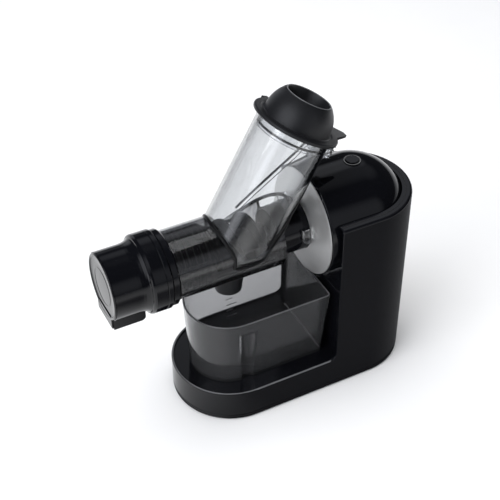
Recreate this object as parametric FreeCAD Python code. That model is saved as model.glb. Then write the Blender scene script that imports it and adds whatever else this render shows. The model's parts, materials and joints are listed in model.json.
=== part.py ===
import FreeCAD, Part
import math
import os

# Cold press juicer, lying type. Millimetres, +Z up. The origin is the middle
# of the base's footprint on the table. +X runs along the screw towards the
# motor tower, and -Y is the side that faces the user.

V = FreeCAD.Vector

# Base and tower
base_half_width = 72.0      # half width of the base, and radius of its round ends
base_end_offset = 80.0      # from the middle to the centre of each round end
foot_height = 4.0
foot_radius = 9.0
foot_stand = 1.5            # how far the feet hold the base plate off the table
foot_inset = 34.0           # from the base's edge to the middle of a foot, both ways
plate_rim_height = 7.0      # visible edge of the base plate
plate_thickness = 3.0
plate_rim_inset = 0.7       # the plate's edge stands this far inside the wall
plate_tongue_height = 4.0   # tongue that locates the wall on the plate
rim_groove_depth = 1.2
rim_groove_height = 1.0
wall = 2.6                  # wall of the outer wrap
skirt_top = 44.0            # top of the low wall round the tray
wrap_top = 244.0            # top of the wrap round the tower
wrap_front_x = 29.0         # front edge of the wrap
wrap_corner_radius = 9.0    # hollow corner where the skirt runs up into the wrap
wrap_edge_round = 3.2
skirt_edge_round = 0.9
deck_drop = 2.2             # the tray's top lies this far below the skirt's top
deck_thickness = 3.0
panel_recess = 4.0          # the front panel lies this far behind the wrap's edge
panel_thickness = 2.4
fit_gap = 0.3               # clearance between pieces that don't turn in each other
run_gap = 0.06              # clearance of a shaft in its bearing

# Screw axis and the round front of the tower
axis_z = 214.0
core_side_room = 3.9        # from the round front's side to the inside of the wrap
core_wall = 2.4
core_front_x = 20.0
core_edge_round = 1.6
ledge_gap = 0.5             # shadow gap between the dome and the wrap's ledge
ring_edge_gap = 0.5         # shadow gap round the steel ring
ring_front_x = 17.5         # outer edge of the steel ring
ring_inner_x = 10.0         # inner edge of the steel ring, nearer the drum
ring_thickness = 1.2
socket_wall = 3.0
socket_back_x = 35.0
socket_plate = 3.0
shaft_hole_radius = 8.0

# Power button on the crest of the dome
button_radius = 8.0
button_height = 8.0
button_proud = 1.4
button_travel = 2.5
bezel_width = 2.2
bezel_height = 4.5
bezel_proud = 0.5
light_ring_width = 0.8
light_ring_depth = 0.7

# Motor and gears
gear_module = 1.5
output_teeth = 48
reduction_pinion_teeth = 12
reduction_teeth = 42
motor_pinion_teeth = 12
gear_backlash = 0.24
output_gear_width = 8.0
reduction_gear_width = 6.0
gear_axial_gap = 1.5
case_front_x = 40.0
case_wall = 3.0
case_radial_room = 3.0
drive_shaft_radius = 6.0
small_shaft_radius = 4.0
bearing_rim = 5.0
bearing_width = 4.0
mount_plate = 3.5
motor_radius = 34.0
motor_wall = 2.5
motor_length = 66.0
stator_bore = 19.0
rotor_air_gap = 0.4
stator_length = 38.0
fan_radius = 25.0
fan_width = 6.0
fan_blades = 9

# Drum that holds the screw
drum_radius = 40.3
drum_wall = 2.5
drum_rear_x = -26.0
drum_front_x = -186.0
drum_end_wall = 2.5
collar_step = 5.7           # how far the collar stands out from the drum
collar_round = 2.4
notch_length = 7.0          # small notch in the collar that marks its place
notch_depth = 3.0
notch_angle = 28.0
collar_rear_x = -157.0
collar_front_x = -173.0
neck_radius = 30.7
neck_wall = 3.0
neck_insert = 20.0          # how far the neck goes into the socket's mouth
lug_count = 3
lug_height = 7.0
lug_length = 7.0
lug_angle = 26.0
lug_gap = 3.0               # from the lugs to the inner edge of the steel ring
filter_gap = 1.2            # from the drum's bore to the filter
filter_frame_thickness = 2.2
filter_mesh_thickness = 0.9
filter_front_x = -154.0
filter_rear_x = -34.0
filter_hopper_x = -112.0    # behind this the filter is open at the top
filter_hoop_width = 4.0
filter_bars = 8
filter_bar_width = 5.0

# Feed tube, leaning towards the tower
tube_lean = 29.3            # degrees from upright
tube_foot_x = -74.1         # where the tube's axis crosses the screw axis
tube_radius = 43.2
tube_wall = 3.2
tube_length = 158.0         # from the screw axis to the mouth
keyway_width = 20.0
keyway_depth = 15.0
keyway_length = 26.0
keyway_wall = 2.0

# Pusher
flange_radius = 50.5
flange_thickness = 4.5
flange_round = 1.6
dome_foot_radius = 39.0
dome_height = 31.0
dome_top_radius = 25.6
dome_dish_depth = 9.0
dome_wall = 3.0
plug_length = 14.0
plug_wall = 2.5
plug_gap = 0.8
ear_length = 22.0
ear_width = 18.0
seal_width = 2.4

# Screw
auger_gap = 0.6             # from the filter's mesh to the screw's flight
auger_core_rear = 14.0
auger_core_front = 21.0
auger_pitch = 27.0
auger_flight = 4.5
auger_front_x = -150.0
auger_rear_x = -36.0
coupling_radius = 11.0
coupling_front_x = -14.0
hex_flats = 10.0
hex_gap = 0.15
hex_overlap = 14.0
spider_width = 4.0
spider_hub_rim = 6.0
spider_arms = 3
spider_arm_width = 6.0

# Pulp cap
cap_step = 6.5              # how far the cap's end is drawn in from the collar
cap_wall = 2.6
cap_front_x = -231.0
cap_cove_front_x = -203.0
cap_shoulder_x = -190.0
cap_round = 2.0
cover_thickness = 2.2
cover_inset = 1.6
outlet_half_width = 22.0
outlet_drop = 47.0          # from the screw axis down to the outlet's mouth
outlet_rear_x = -193.0
outlet_wall = 2.4
outlet_round = 5.0

# Juice spout
spout_x = -80.5
spout_top_radius = 19.0
spout_radius = 16.0
spout_drop = 62.0           # from the screw axis down to the spout's mouth
spout_wall = 2.4

# Latch under the drum's rear end
latch_length = 9.0
latch_width = 14.0
latch_depth = 3.5
latch_bite = 3.0

# Control board and drum switch
board_thickness = 1.6
board_post_radius = 2.5
board_post_inset = 4.0
board_part_gap = 8.0
capacitor_radius = 7.0
capacitor_height = 16.0
relay_length = 14.0
relay_width = 18.0
relay_height = 12.0
terminal_length = 26.0
terminal_width = 10.0
terminal_height = 7.0
switch_length = 18.0
switch_width = 16.0
switch_height = 8.0
plunger_radius = 1.5
plunger_height = 2.0

# Juice jug
jug_center_x = -82.5        # centre of its round end
jug_floor_half = 47.5
jug_rim_half = 52.7
jug_floor_right = 23.0
jug_rim_right = 29.0
jug_height = 93.2
jug_wall = 2.3
jug_floor = 3.0
jug_corner = 5.0
flute_radius = 10.5
flute_depth = 3.6
flute_top_gap = 18.0
mark_count = 8
mark_length = 9.0
mark_height = 0.9
mark_depth = 0.35
mark_first = 14.0
mark_step = 9.0

# Sizes that follow from the ones above
deck_top = skirt_top - deck_drop
plate_bottom = foot_stand
plate_rim_top = plate_bottom + plate_rim_height
panel_x = wrap_front_x + panel_recess
inner_half_width = base_half_width - wall
core_radius = inner_half_width - core_side_room
ring_outer_radius = core_radius - ring_edge_gap
foot_x = base_end_offset + base_half_width - foot_inset
foot_y = base_half_width - foot_inset
collar_radius = drum_radius + collar_step
cap_radius = collar_radius - cap_step
filter_radius = drum_radius - drum_wall - filter_gap
auger_radius = filter_radius - filter_frame_thickness - filter_mesh_thickness - auger_gap
core_top = axis_z + core_radius
ledge_under = wrap_top - wall
lean = math.radians(tube_lean)
tube_dir = V(math.sin(lean), 0, math.cos(lean))
tube_foot = V(tube_foot_x, 0, axis_z)
tube_bore = tube_radius - tube_wall
neck_bore = neck_radius - neck_wall
socket_radius = neck_radius + fit_gap
ring_inner_radius = socket_radius + fit_gap
reduction_z = axis_z - gear_module * (output_teeth + reduction_pinion_teeth) / 2
motor_z = reduction_z - gear_module * (reduction_teeth + motor_pinion_teeth) / 2
gear_front_x = case_front_x + case_wall + gear_axial_gap
reduction_gear_x = gear_front_x + output_gear_width + gear_axial_gap
case_rear_x = reduction_gear_x + reduction_gear_width + gear_axial_gap + case_wall
motor_front_x = case_rear_x + mount_plate
motor_rear_x = motor_front_x + motor_length
neck_rear_x = ring_inner_x + neck_insert
hex_front_x = neck_rear_x - 2 * fit_gap - hex_overlap


def save(name, shape):
    """Write one piece."""
    shape.exportStep("parts/" + name + ".step")


def cyl_x(radius, x0, x1, y=0.0, z=axis_z):
    """A round bar along X."""
    return Part.makeCylinder(radius, x1 - x0, V(x0, y, z), V(1, 0, 0))


def tube_x(outer, inner, x0, x1, y=0.0, z=axis_z):
    """A round tube along X."""
    over = x1 - x0
    bore = cyl_x(inner, x0 - over, x1 + over, y, z)
    return cyl_x(outer, x0, x1, y, z).cut(bore)


def cyl_z(radius, z0, z1, x=0.0, y=0.0):
    """A round bar along Z."""
    return Part.makeCylinder(radius, z1 - z0, V(x, y, z0))


def block(x0, x1, y0, y1, z0, z1):
    """A box from its corners."""
    return Part.makeBox(x1 - x0, y1 - y0, z1 - z0, V(x0, y0, z0))


def polygon(points):
    """A closed wire through points."""
    return Part.makePolygon(points + [points[0]])


def turned_x(profile, z=axis_z):
    """Turn a closed outline of (x, radius) pairs about the X axis at height z."""
    face = Part.Face(polygon([V(x, 0, r) for x, r in profile]))
    solid = face.revolve(V(0, 0, 0), V(1, 0, 0), 360)
    solid.translate(V(0, 0, z))
    return solid


def on_tube(solid):
    """Move a piece drawn about Z so that its Z axis is the feed tube's axis."""
    solid.rotate(V(0, 0, 0), V(0, 1, 0), tube_lean)
    solid.translate(tube_foot)
    return solid


def stadium(half, z0, z1):
    """The base's footprint, straight up from z0 to z1."""
    c = base_end_offset
    edges = [
        Part.makeLine(V(-c, -half, z0), V(c, -half, z0)),
        Part.Arc(V(c, -half, z0), V(c + half, 0, z0), V(c, half, z0)).toShape(),
        Part.makeLine(V(c, half, z0), V(-c, half, z0)),
        Part.Arc(V(-c, half, z0), V(-c - half, 0, z0), V(-c, -half, z0)).toShape(),
    ]
    return Part.Face(Part.Wire(edges)).extrude(V(0, 0, z1 - z0))


def capsule(radius, x0):
    """A round bar about the screw axis that ends in a half ball over the rear."""
    ball = Part.makeSphere(radius, V(base_end_offset, 0, axis_z))
    front = cyl_x(2 * radius, base_end_offset - 2 * radius, base_end_offset)
    return cyl_x(radius, x0, base_end_offset).fuse(ball.cut(front)).removeSplitter()


def edges_where(shape, test):
    """Edges whose every vertex passes a test."""
    picked = []
    for edge in shape.Edges:
        if edge.Vertexes and all(test(v.Point) for v in edge.Vertexes):
            picked.append(edge)
    return picked


def near(value, target):
    """True when two lengths agree."""
    return abs(value - target) < 0.001


def wheel_outline(teeth, phase):
    """Outline of a spur gear with involute flanks, in the Y and Z directions."""
    pitch_r = gear_module * teeth / 2
    base_r = pitch_r * math.cos(math.radians(20))
    tip_r = pitch_r + gear_module
    root_r = pitch_r - 1.25 * gear_module
    start_r = max(base_r, root_r)
    involute = math.tan(math.radians(20)) - math.radians(20)
    half_tooth = math.pi / 2 / teeth - gear_backlash / 2 / pitch_r + involute
    steps = 5
    points = []
    for tooth in range(teeth):
        middle = phase + 2 * math.pi * tooth / teeth
        flank = []
        for step in range(steps + 1):
            r = start_r + (tip_r - start_r) * step / steps
            turn = math.acos(min(1.0, base_r / r))
            flank.append((r, half_tooth - (math.tan(turn) - turn)))
        side = [(root_r, half_tooth)] + flank
        for r, a in side:
            points.append((r, middle - a))
        for r, a in reversed(side):
            points.append((r, middle + a))
    return points


def wheel(teeth, x0, width, z, phase, bore):
    """A spur gear about an axis along X at height z."""
    points = []
    for r, a in wheel_outline(teeth, phase):
        points.append(V(x0, r * math.sin(a), z + r * math.cos(a)))
    body = Part.Face(polygon(points)).extrude(V(width, 0, 0))
    return body.cut(cyl_x(bore, x0 - width, x0 + 2 * width, 0, z))


def hexagon_x(flats, x0, x1):
    """A hexagonal bar along the screw axis."""
    r = flats / 2 / math.cos(math.pi / 6)
    points = []
    for i in range(6):
        a = math.pi / 3 * i
        points.append(V(x0, r * math.sin(a), axis_z + r * math.cos(a)))
    return Part.Face(polygon(points)).extrude(V(x1 - x0, 0, 0))


def feet_places():
    """Centres of the feet: four near the corners, and one in the middle."""
    corners = [(sx * foot_x, sy * foot_y) for sx in (-1, 1) for sy in (-1, 1)]
    return corners + [(0.0, 0.0)]


def boss_places():
    """Centres of the four posts under the tray."""
    x_left = -base_end_offset - base_half_width / 3
    x_right = wrap_front_x - base_half_width / 3
    y = base_half_width / 2 + foot_radius
    return [(x, sy * y) for x in (x_left + foot_radius, x_right) for sy in (-1, 1)]


def make_outer_wrap():
    """The skirt and the tower's wall, moulded as one piece."""
    body = stadium(base_half_width, plate_rim_top, wrap_top)
    length = base_end_offset + base_half_width
    cutter = block(-2 * length, wrap_front_x, -length, length, skirt_top, 2 * wrap_top)
    corner = edges_where(cutter, lambda p: near(p.x, wrap_front_x) and near(p.z, skirt_top))
    cutter = cutter.makeFillet(wrap_corner_radius, corner)
    body = body.cut(cutter)
    top = edges_where(body, lambda p: near(p.z, wrap_top) and p.x > wrap_front_x - 1)
    top = [e for e in top if not (near(e.Vertexes[0].Point.x, wrap_front_x)
                                  and near(e.Vertexes[-1].Point.x, wrap_front_x))]
    body = body.makeFillet(wrap_edge_round, top)
    low = edges_where(body, lambda p: near(p.z, skirt_top))
    low = [e for e in low if e.BoundBox.ZLength < 0.01]
    low = [e for e in low if e.BoundBox.XLength > base_half_width / 2]
    body = body.makeFillet(skirt_edge_round, low)
    inside = stadium(inner_half_width, plate_rim_top - 1, ledge_under)
    body = body.cut(inside)
    mouth = math.sqrt(core_radius ** 2 - (ledge_under - axis_z) ** 2) + ledge_gap
    body = body.cut(stadium(mouth, ledge_under - 1, wrap_top + 1))
    hole = cyl_x(gland_radius(), base_end_offset, 2 * length, 0, gland_z())
    return body.cut(hole)


def gland_radius():
    """Radius of the mains inlet's hole."""
    return 2 * wall


def gland_z():
    """Height of the mains inlet."""
    return skirt_top / 2


def make_mains_inlet():
    """A ribbed inlet bush in the rear wall, with no cable in it."""
    outside = base_end_offset + base_half_width
    r = gland_radius()
    body = cyl_x(r, outside - 2.5 * wall, outside + wall, 0, gland_z())
    body = body.fuse(cyl_x(1.5 * r, outside - 2.5 * wall, outside - 1.5 * wall, 0, gland_z()))
    body = body.cut(cyl_x(r / 2, outside - wall, outside + 2 * wall, 0, gland_z()))
    return body.removeSplitter()


def make_base_plate():
    """The plate that closes the base, with its grooved edge."""
    half = base_half_width - plate_rim_inset
    body = stadium(half, plate_bottom, plate_rim_top)
    tongue = stadium(inner_half_width - fit_gap, plate_rim_top, plate_rim_top + plate_tongue_height)
    body = body.fuse(tongue)
    middle = plate_bottom + plate_rim_height / 2
    groove = stadium(base_half_width, middle, middle + rim_groove_height)
    groove = groove.cut(stadium(half - rim_groove_depth, middle, middle + rim_groove_height))
    body = body.cut(groove)
    hollow = stadium(inner_half_width - 2 * wall, plate_bottom + plate_thickness,
                     plate_rim_top + 2 * plate_tongue_height)
    body = body.cut(hollow)
    for x, y in feet_places():
        seat = cyl_z(foot_radius + 2 * wall, plate_bottom, plate_rim_top, x, y)
        body = body.fuse(seat)
        body = body.cut(cyl_z(foot_radius, 0, foot_height, x, y))
    for x, y in boss_places():
        body = body.fuse(cyl_z(2 * wall, plate_bottom, plate_rim_top, x, y))
        body = body.cut(cyl_z(screw_head_radius() + fit_gap, 0, screw_head_top(), x, y))
        body = body.cut(cyl_z(screw_radius(), 0, wrap_top, x, y))
    return body


def screw_radius():
    """Radius of the base screws."""
    return 0.7 * wall


def screw_head_radius():
    """Radius of the base screws' heads."""
    return 1.4 * wall


def screw_head_top():
    """Height of the underside of the base plate's screw seats."""
    return plate_bottom + plate_thickness


def make_feet():
    """The rubber feet."""
    return Part.Compound([cyl_z(foot_radius, 0, foot_height, x, y) for x, y in feet_places()])


def make_base_screws():
    """Four screws from below into the tray's posts."""
    screws = []
    for x, y in boss_places():
        head = cyl_z(screw_head_radius(), plate_bottom + fit_gap, screw_head_top(), x, y)
        shank = cyl_z(screw_radius(), plate_bottom + fit_gap, deck_top / 2, x, y)
        slot = block(x - 2 * wall, x + 2 * wall, y - 0.5, y + 0.5, 0, plate_bottom + 1)
        screws.append(head.fuse(shank).cut(slot).removeSplitter())
    return Part.Compound(screws)


def make_deck():
    """The tray floor that the jug stands on."""
    half = inner_half_width - fit_gap
    body = stadium(half, deck_top - deck_thickness, deck_top)
    far = 2 * (base_end_offset + base_half_width)
    body = body.cut(block(panel_x, far, -far, far, 0, wrap_top))
    for x, y in boss_places():
        body = body.fuse(cyl_z(2 * wall, plate_rim_top, deck_top - deck_thickness, x, y))
        body = body.cut(cyl_z(screw_radius(), 0, deck_top / 2, x, y))
    return body


def make_front_panel():
    """The tower's flat front with the lower half of its round boss."""
    half = inner_half_width - fit_gap
    low = deck_top - deck_thickness - fit_gap
    high = ledge_under - fit_gap
    body = block(panel_x, panel_x + panel_thickness, -half, half, low, high)
    body = body.cut(cyl_x(core_radius, 0, 2 * base_end_offset))
    boss = tube_x(core_radius, core_radius - core_wall, core_front_x, panel_x + panel_thickness)
    rim = edges_where(boss, lambda p: near(p.x, core_front_x) and near(abs(p.z - axis_z), core_radius))
    boss = boss.makeFillet(min(core_edge_round, 0.8 * core_wall), rim)
    far = 2 * base_end_offset
    boss = boss.cut(block(-far, far, -far, far, axis_z, 2 * wrap_top))
    return body.fuse(boss).removeSplitter()


def make_core_dome():
    """The rounded top of the tower, as a thin shell with the button's hole."""
    outer = capsule(core_radius, core_front_x)
    rim = edges_where(outer, lambda p: near(p.x, core_front_x))
    outer = outer.makeFillet(min(core_edge_round, 0.8 * core_wall), rim)
    body = outer.cut(capsule(core_radius - core_wall, core_front_x - core_wall))
    far = 2 * (base_end_offset + base_half_width)
    body = body.cut(block(-far, far, -far, far, 0, axis_z + fit_gap))
    hole = cyl_z(button_radius + bezel_width + fit_gap, axis_z, 2 * core_top, base_end_offset)
    return body.cut(hole)


def make_steel_ring():
    """The shallow steel cone round the drum's neck."""
    return turned_x([
        (ring_front_x, ring_outer_radius),
        (ring_front_x + ring_thickness, ring_outer_radius),
        (ring_inner_x + ring_thickness, ring_inner_radius),
        (ring_inner_x, ring_inner_radius),
    ])


def make_socket():
    """The sleeve that takes the drum's neck, with the cone behind the ring."""
    out = core_radius - core_wall - fit_gap
    slope = (ring_front_x - ring_inner_x) / (ring_outer_radius - ring_inner_radius)
    front_out = ring_inner_x + ring_thickness + slope * (out - ring_inner_radius)
    front_in = ring_inner_x + ring_thickness + slope * (socket_radius - ring_inner_radius)
    sleeve = socket_radius + socket_wall
    front_sleeve = front_in + slope * socket_wall + socket_wall
    return turned_x([
        (front_in, socket_radius),
        (front_out, out),
        (front_out + socket_wall, out),
        (front_sleeve, sleeve),
        (socket_back_x + socket_plate, sleeve),
        (socket_back_x + socket_plate, shaft_hole_radius),
        (socket_back_x, shaft_hole_radius),
        (socket_back_x, socket_radius),
    ])


def make_bezel():
    """The ring round the power button."""
    r = button_radius + fit_gap
    top = core_top + bezel_proud
    body = cyl_z(r + bezel_width, top - bezel_height, top, base_end_offset)
    body = body.cut(cyl_z(r, 0, 2 * core_top, base_end_offset))
    middle = r + bezel_width / 2
    groove = cyl_z(middle + light_ring_width / 2, top - light_ring_depth, 2 * top, base_end_offset)
    groove = groove.cut(cyl_z(middle - light_ring_width / 2, 0, 3 * top, base_end_offset))
    return body.cut(groove)


def make_light_ring():
    """The lit ring let into the bezel."""
    top = core_top + bezel_proud
    middle = button_radius + fit_gap + bezel_width / 2
    body = cyl_z(middle + light_ring_width / 2, top - light_ring_depth, top, base_end_offset)
    return body.cut(cyl_z(middle - light_ring_width / 2, 0, 2 * top, base_end_offset))


def make_button():
    """The power button, a disc with a rounded edge."""
    top = core_top + bezel_proud + button_proud
    body = cyl_z(button_radius, top - button_height, top, base_end_offset)
    rim = edges_where(body, lambda p: near(p.z, top))
    return body.makeFillet(button_proud / 2, rim)


def make_button_guide():
    """The sleeve under the dome that the button slides in."""
    r = button_radius + fit_gap
    top = core_top + bezel_proud - bezel_height
    low = core_top + bezel_proud + button_proud - button_height - button_travel - 1
    low = min(low, top - 2)
    body = cyl_z(r + bezel_width, low, top, base_end_offset)
    return body.cut(cyl_z(r, low + 1, 2 * core_top, base_end_offset))


def case_half_width():
    """Half width of the gear case."""
    tip = gear_module * (output_teeth / 2 + 1)
    return tip + case_radial_room + case_wall


def make_gear_case():
    """The closed case round the two gear stages."""
    half = case_half_width()
    low = motor_z - gear_module * (motor_pinion_teeth / 2 + 1) - case_radial_room - case_wall
    high = axis_z + half
    body = block(case_front_x, case_rear_x, -half, half, low, high)
    room = block(case_front_x + case_wall, case_rear_x - case_wall, -half + case_wall,
                 half - case_wall, low + case_wall, high - case_wall)
    upright = [e for e in body.Edges if e.BoundBox.XLength > 1]
    body = body.makeFillet(2 * case_wall, upright)
    body = body.cut(room)
    seat = socket_back_x + socket_plate
    body = body.fuse(tube_x(bearing_seat_radius() + case_wall, bearing_seat_radius(), seat,
                            case_front_x + case_wall))
    far = case_rear_x + case_front_x
    body = body.cut(cyl_x(bearing_seat_radius(), seat, far))
    body = body.cut(cyl_x(small_shaft_radius + run_gap, 0, far, 0, reduction_z))
    body = body.cut(cyl_x(small_shaft_radius + bearing_rim, case_front_x + 2 * case_wall, far, 0, motor_z))
    for side in (-1, 1):
        y = side * (half - 3 * case_wall)
        z = low + 3 * case_wall
        post = cyl_x(1.5 * case_wall, panel_x + panel_thickness, case_front_x, y, z)
        body = body.fuse(post)
    return body


def bearing_seat_radius():
    """Outer radius of the drive shaft's bearings."""
    return drive_shaft_radius + bearing_rim


def make_shaft_bearings():
    """The two bearings of the drive shaft, in the case's walls."""
    rings = []
    for x0 in (case_front_x, case_rear_x - bearing_width):
        rings.append(tube_x(bearing_seat_radius(), drive_shaft_radius + run_gap, x0, x0 + bearing_width))
    return Part.Compound(rings)


def make_motor_mount():
    """The plate that joins the motor to the gear case."""
    half = motor_radius + case_wall
    low = motor_z - half
    body = block(case_rear_x, motor_front_x, -half, half, low, motor_z + half)
    upright = [e for e in body.Edges if e.BoundBox.XLength > 1]
    body = body.makeFillet(2 * case_wall, upright)
    foot = block(case_rear_x, motor_front_x, -half + 2 * case_wall, half - 2 * case_wall,
                 plate_bottom + plate_thickness, low + case_wall)
    body = body.fuse(foot)
    return body.cut(cyl_x(small_shaft_radius + bearing_rim, 0, 2 * motor_rear_x, 0, motor_z))


def make_motor_can():
    """The motor's steel can with its end plates and cooling slots."""
    inner = motor_radius - motor_wall
    body = cyl_x(motor_radius, motor_front_x, motor_rear_x, 0, motor_z)
    body = body.cut(cyl_x(inner, motor_front_x + motor_wall, motor_rear_x - motor_wall, 0, motor_z))
    body = body.cut(cyl_x(small_shaft_radius + bearing_rim, 0, 2 * motor_rear_x, 0, motor_z))
    for i in range(8):
        a = math.radians(45 * i + 22.5)
        y = (fan_radius - 3) * math.sin(a)
        z = motor_z + (fan_radius - 3) * math.cos(a)
        body = body.cut(cyl_x(3, motor_rear_x - 2 * motor_wall, 2 * motor_rear_x, y, z))
    return body


def make_stator():
    """The stator stack inside the can."""
    inner = motor_radius - motor_wall
    x0 = motor_front_x + bearing_width + 2 * motor_wall
    return tube_x(inner, stator_bore, x0, x0 + stator_length, 0, motor_z)


def make_motor_bearings():
    """The two bearings of the motor's shaft."""
    rings = []
    for x0 in (motor_front_x, motor_rear_x - bearing_width):
        rings.append(tube_x(small_shaft_radius + bearing_rim, small_shaft_radius + run_gap,
                            x0, x0 + bearing_width, 0, motor_z))
    return Part.Compound(rings)


def make_rotor():
    """The rotor stack on its shaft."""
    x0 = motor_front_x + bearing_width + 2 * motor_wall
    core = cyl_x(stator_bore - rotor_air_gap, x0, x0 + stator_length, 0, motor_z)
    shaft = cyl_x(small_shaft_radius, reduction_gear_x - fit_gap, motor_rear_x - 1, 0, motor_z)
    return core.fuse(shaft).removeSplitter()


def fan_front_x():
    """Front of the motor's fan."""
    x0 = motor_front_x + bearing_width + 2 * motor_wall + stator_length
    return x0 + fit_gap + 0.7


def make_fan():
    """The cooling fan behind the rotor."""
    x0 = fan_front_x()
    hub = tube_x(small_shaft_radius + 4, small_shaft_radius, x0, x0 + fan_width, 0, motor_z)
    disc = tube_x(fan_radius, small_shaft_radius, x0, x0 + 1.2, 0, motor_z)
    body = hub.fuse(disc)
    for i in range(fan_blades):
        blade = block(x0, x0 + fan_width, -0.7, 0.7, small_shaft_radius + 2, fan_radius)
        blade.rotate(V(0, 0, 0), V(1, 0, 0), 360.0 / fan_blades * i)
        blade.translate(V(0, 0, motor_z))
        body = body.fuse(blade)
    return body.removeSplitter()


def make_motor_pinion():
    """The small gear on the motor's shaft."""
    phase = math.pi / motor_pinion_teeth if reduction_teeth % 2 == 0 else 0.0
    return wheel(motor_pinion_teeth, reduction_gear_x, reduction_gear_width, motor_z,
                 phase, small_shaft_radius)


def make_reduction_gear():
    """The large gear of the middle shaft."""
    return wheel(reduction_teeth, reduction_gear_x, reduction_gear_width, reduction_z,
                 0.0 if reduction_teeth % 2 == 0 else math.pi / reduction_teeth, small_shaft_radius)


def make_reduction_pinion():
    """The middle shaft with its small gear."""
    phase = math.pi / reduction_pinion_teeth
    shaft = cyl_x(small_shaft_radius, case_front_x + fit_gap, case_rear_x - fit_gap, 0, reduction_z)
    gear = wheel(reduction_pinion_teeth, gear_front_x, output_gear_width, reduction_z,
                 phase, small_shaft_radius / 2)
    hub = cyl_x(small_shaft_radius + 2, gear_front_x, reduction_gear_x, 0, reduction_z)
    return shaft.fuse(gear).fuse(hub).removeSplitter()


def make_output_gear():
    """The large gear that turns the screw, with its web cut away."""
    body = wheel(output_teeth, gear_front_x, output_gear_width, axis_z,
                 0.0 if output_teeth % 2 == 0 else math.pi / output_teeth, drive_shaft_radius)
    rim = gear_module * (output_teeth / 2 - 1.25) - 2 * case_wall
    hub = bearing_seat_radius() + 2
    dish = tube_x(rim, hub, gear_front_x + output_gear_width - 2.5, gear_front_x + 2 * output_gear_width)
    return body.cut(dish)


def make_drive_shaft():
    """The drive shaft with its hexagonal nose."""
    x1 = case_rear_x - fit_gap
    shaft = cyl_x(drive_shaft_radius, socket_back_x - fit_gap, x1)
    nose = hexagon_x(hex_flats, hex_front_x, socket_back_x)
    return nose.fuse(shaft).removeSplitter()


def make_control_board():
    """The control board on its four posts."""
    z = plate_rim_top + plate_tongue_height
    x0 = motor_front_x + case_wall
    x1 = base_end_offset + base_half_width / 2
    half = base_half_width / 3
    body = block(x0, x1, -half, half, z, z + board_thickness)
    inset = board_post_inset
    for x in (x0 + inset, x1 - inset):
        for y in (-half + inset, half - inset):
            body = body.fuse(cyl_z(board_post_radius, plate_bottom + plate_thickness, z, x, y))
    gap = board_part_gap
    body = body.fuse(cyl_z(capacitor_radius, z, z + capacitor_height, x0 + 2 * capacitor_radius, -gap))
    body = body.fuse(block(x0 + 3 * gap, x0 + 3 * gap + relay_length, -2 * gap, relay_width - 2 * gap,
                           z, z + relay_height))
    body = body.fuse(block(x0 + gap, x0 + gap + terminal_length, gap, gap + terminal_width,
                           z, z + terminal_height))
    return body.removeSplitter()


def make_safety_switch():
    """The switch that proves the drum is locked on."""
    z = axis_z + case_half_width()
    x0 = case_front_x + case_wall
    top = z + switch_height
    body = block(x0, x0 + switch_length, -switch_width / 2, switch_width / 2, z, top)
    plunger = cyl_z(plunger_radius, top, top + plunger_height, x0 + switch_length / 2)
    return body.fuse(plunger).removeSplitter()


def make_drum():
    """The clear drum, open on top under the feed tube."""
    body = tube_x(drum_radius, drum_radius - drum_wall, drum_front_x, drum_rear_x)
    end = tube_x(drum_radius, neck_radius, drum_rear_x - drum_end_wall, drum_rear_x)
    body = body.fuse(end)
    far = 2 * tube_length
    bore = on_tube(Part.makeCylinder(tube_bore, far, V(0, 0, -tube_length)))
    bore = bore.common(block(-far, far, -far, far, axis_z, 2 * far))
    body = body.cut(bore)
    return body.cut(cyl_z(spout_bore(), 0, axis_z, spout_x)).removeSplitter()


def spout_bore():
    """Bore of the juice spout where it leaves the drum."""
    return spout_radius - spout_wall


def make_feed_tube():
    """The clear feed tube, cut to sit on the drum."""
    far = 2 * tube_length
    outer = on_tube(Part.makeCylinder(tube_radius, tube_length + tube_radius, V(0, 0, -tube_radius)))
    bore = on_tube(Part.makeCylinder(tube_bore, far, V(0, 0, -tube_length)))
    body = outer.cut(bore)
    body = body.cut(block(-far, far, -far, far, -far, axis_z))
    body = body.cut(cyl_x(neck_radius, drum_rear_x - drum_end_wall, far))
    return body.cut(cyl_x(drum_radius, -far, drum_rear_x))


def make_keyway():
    """The clear channel on the tube's back that holds the pusher's key."""
    z1 = tube_length
    z0 = z1 - keyway_length
    half = keyway_width / 2
    x1 = tube_radius + keyway_depth
    body = block(0, x1, -half, half, z0, z1)
    room = block(0, x1 - keyway_wall, -half + keyway_wall, half - keyway_wall,
                 z0 + keyway_wall, z1 + 1)
    body = body.cut(room)
    body = body.cut(Part.makeCylinder(tube_radius, 2 * z1, V(0, 0, 0)))
    return on_tube(body)


def make_neck():
    """The dark neck that plugs the drum into the socket."""
    body = tube_x(neck_radius, neck_bore, drum_rear_x - drum_end_wall, neck_rear_x)
    return body


def make_lugs():
    """The bayonet lugs round the neck."""
    x1 = ring_inner_x - lug_gap
    x0 = x1 - lug_length
    lugs = []
    for i in range(lug_count):
        band = tube_x(neck_radius + lug_height, neck_radius, x0, x1)
        wedge = Part.makeCylinder(2 * drum_radius, 2 * lug_length, V(x0 - lug_length / 2, 0, 0),
                                  V(1, 0, 0), lug_angle)
        wedge.rotate(V(0, 0, 0), V(1, 0, 0), 360.0 / lug_count * i + 200 - lug_angle / 2)
        wedge.translate(V(0, 0, axis_z))
        lugs.append(band.common(wedge))
    return Part.Compound(lugs)


def make_rear_bush():
    """The bush and seal at the drum's rear end."""
    x0 = drum_rear_x - drum_end_wall
    return tube_x(neck_bore, drive_shaft_radius + run_gap, x0, x0 + 2 * bearing_width)


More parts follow.
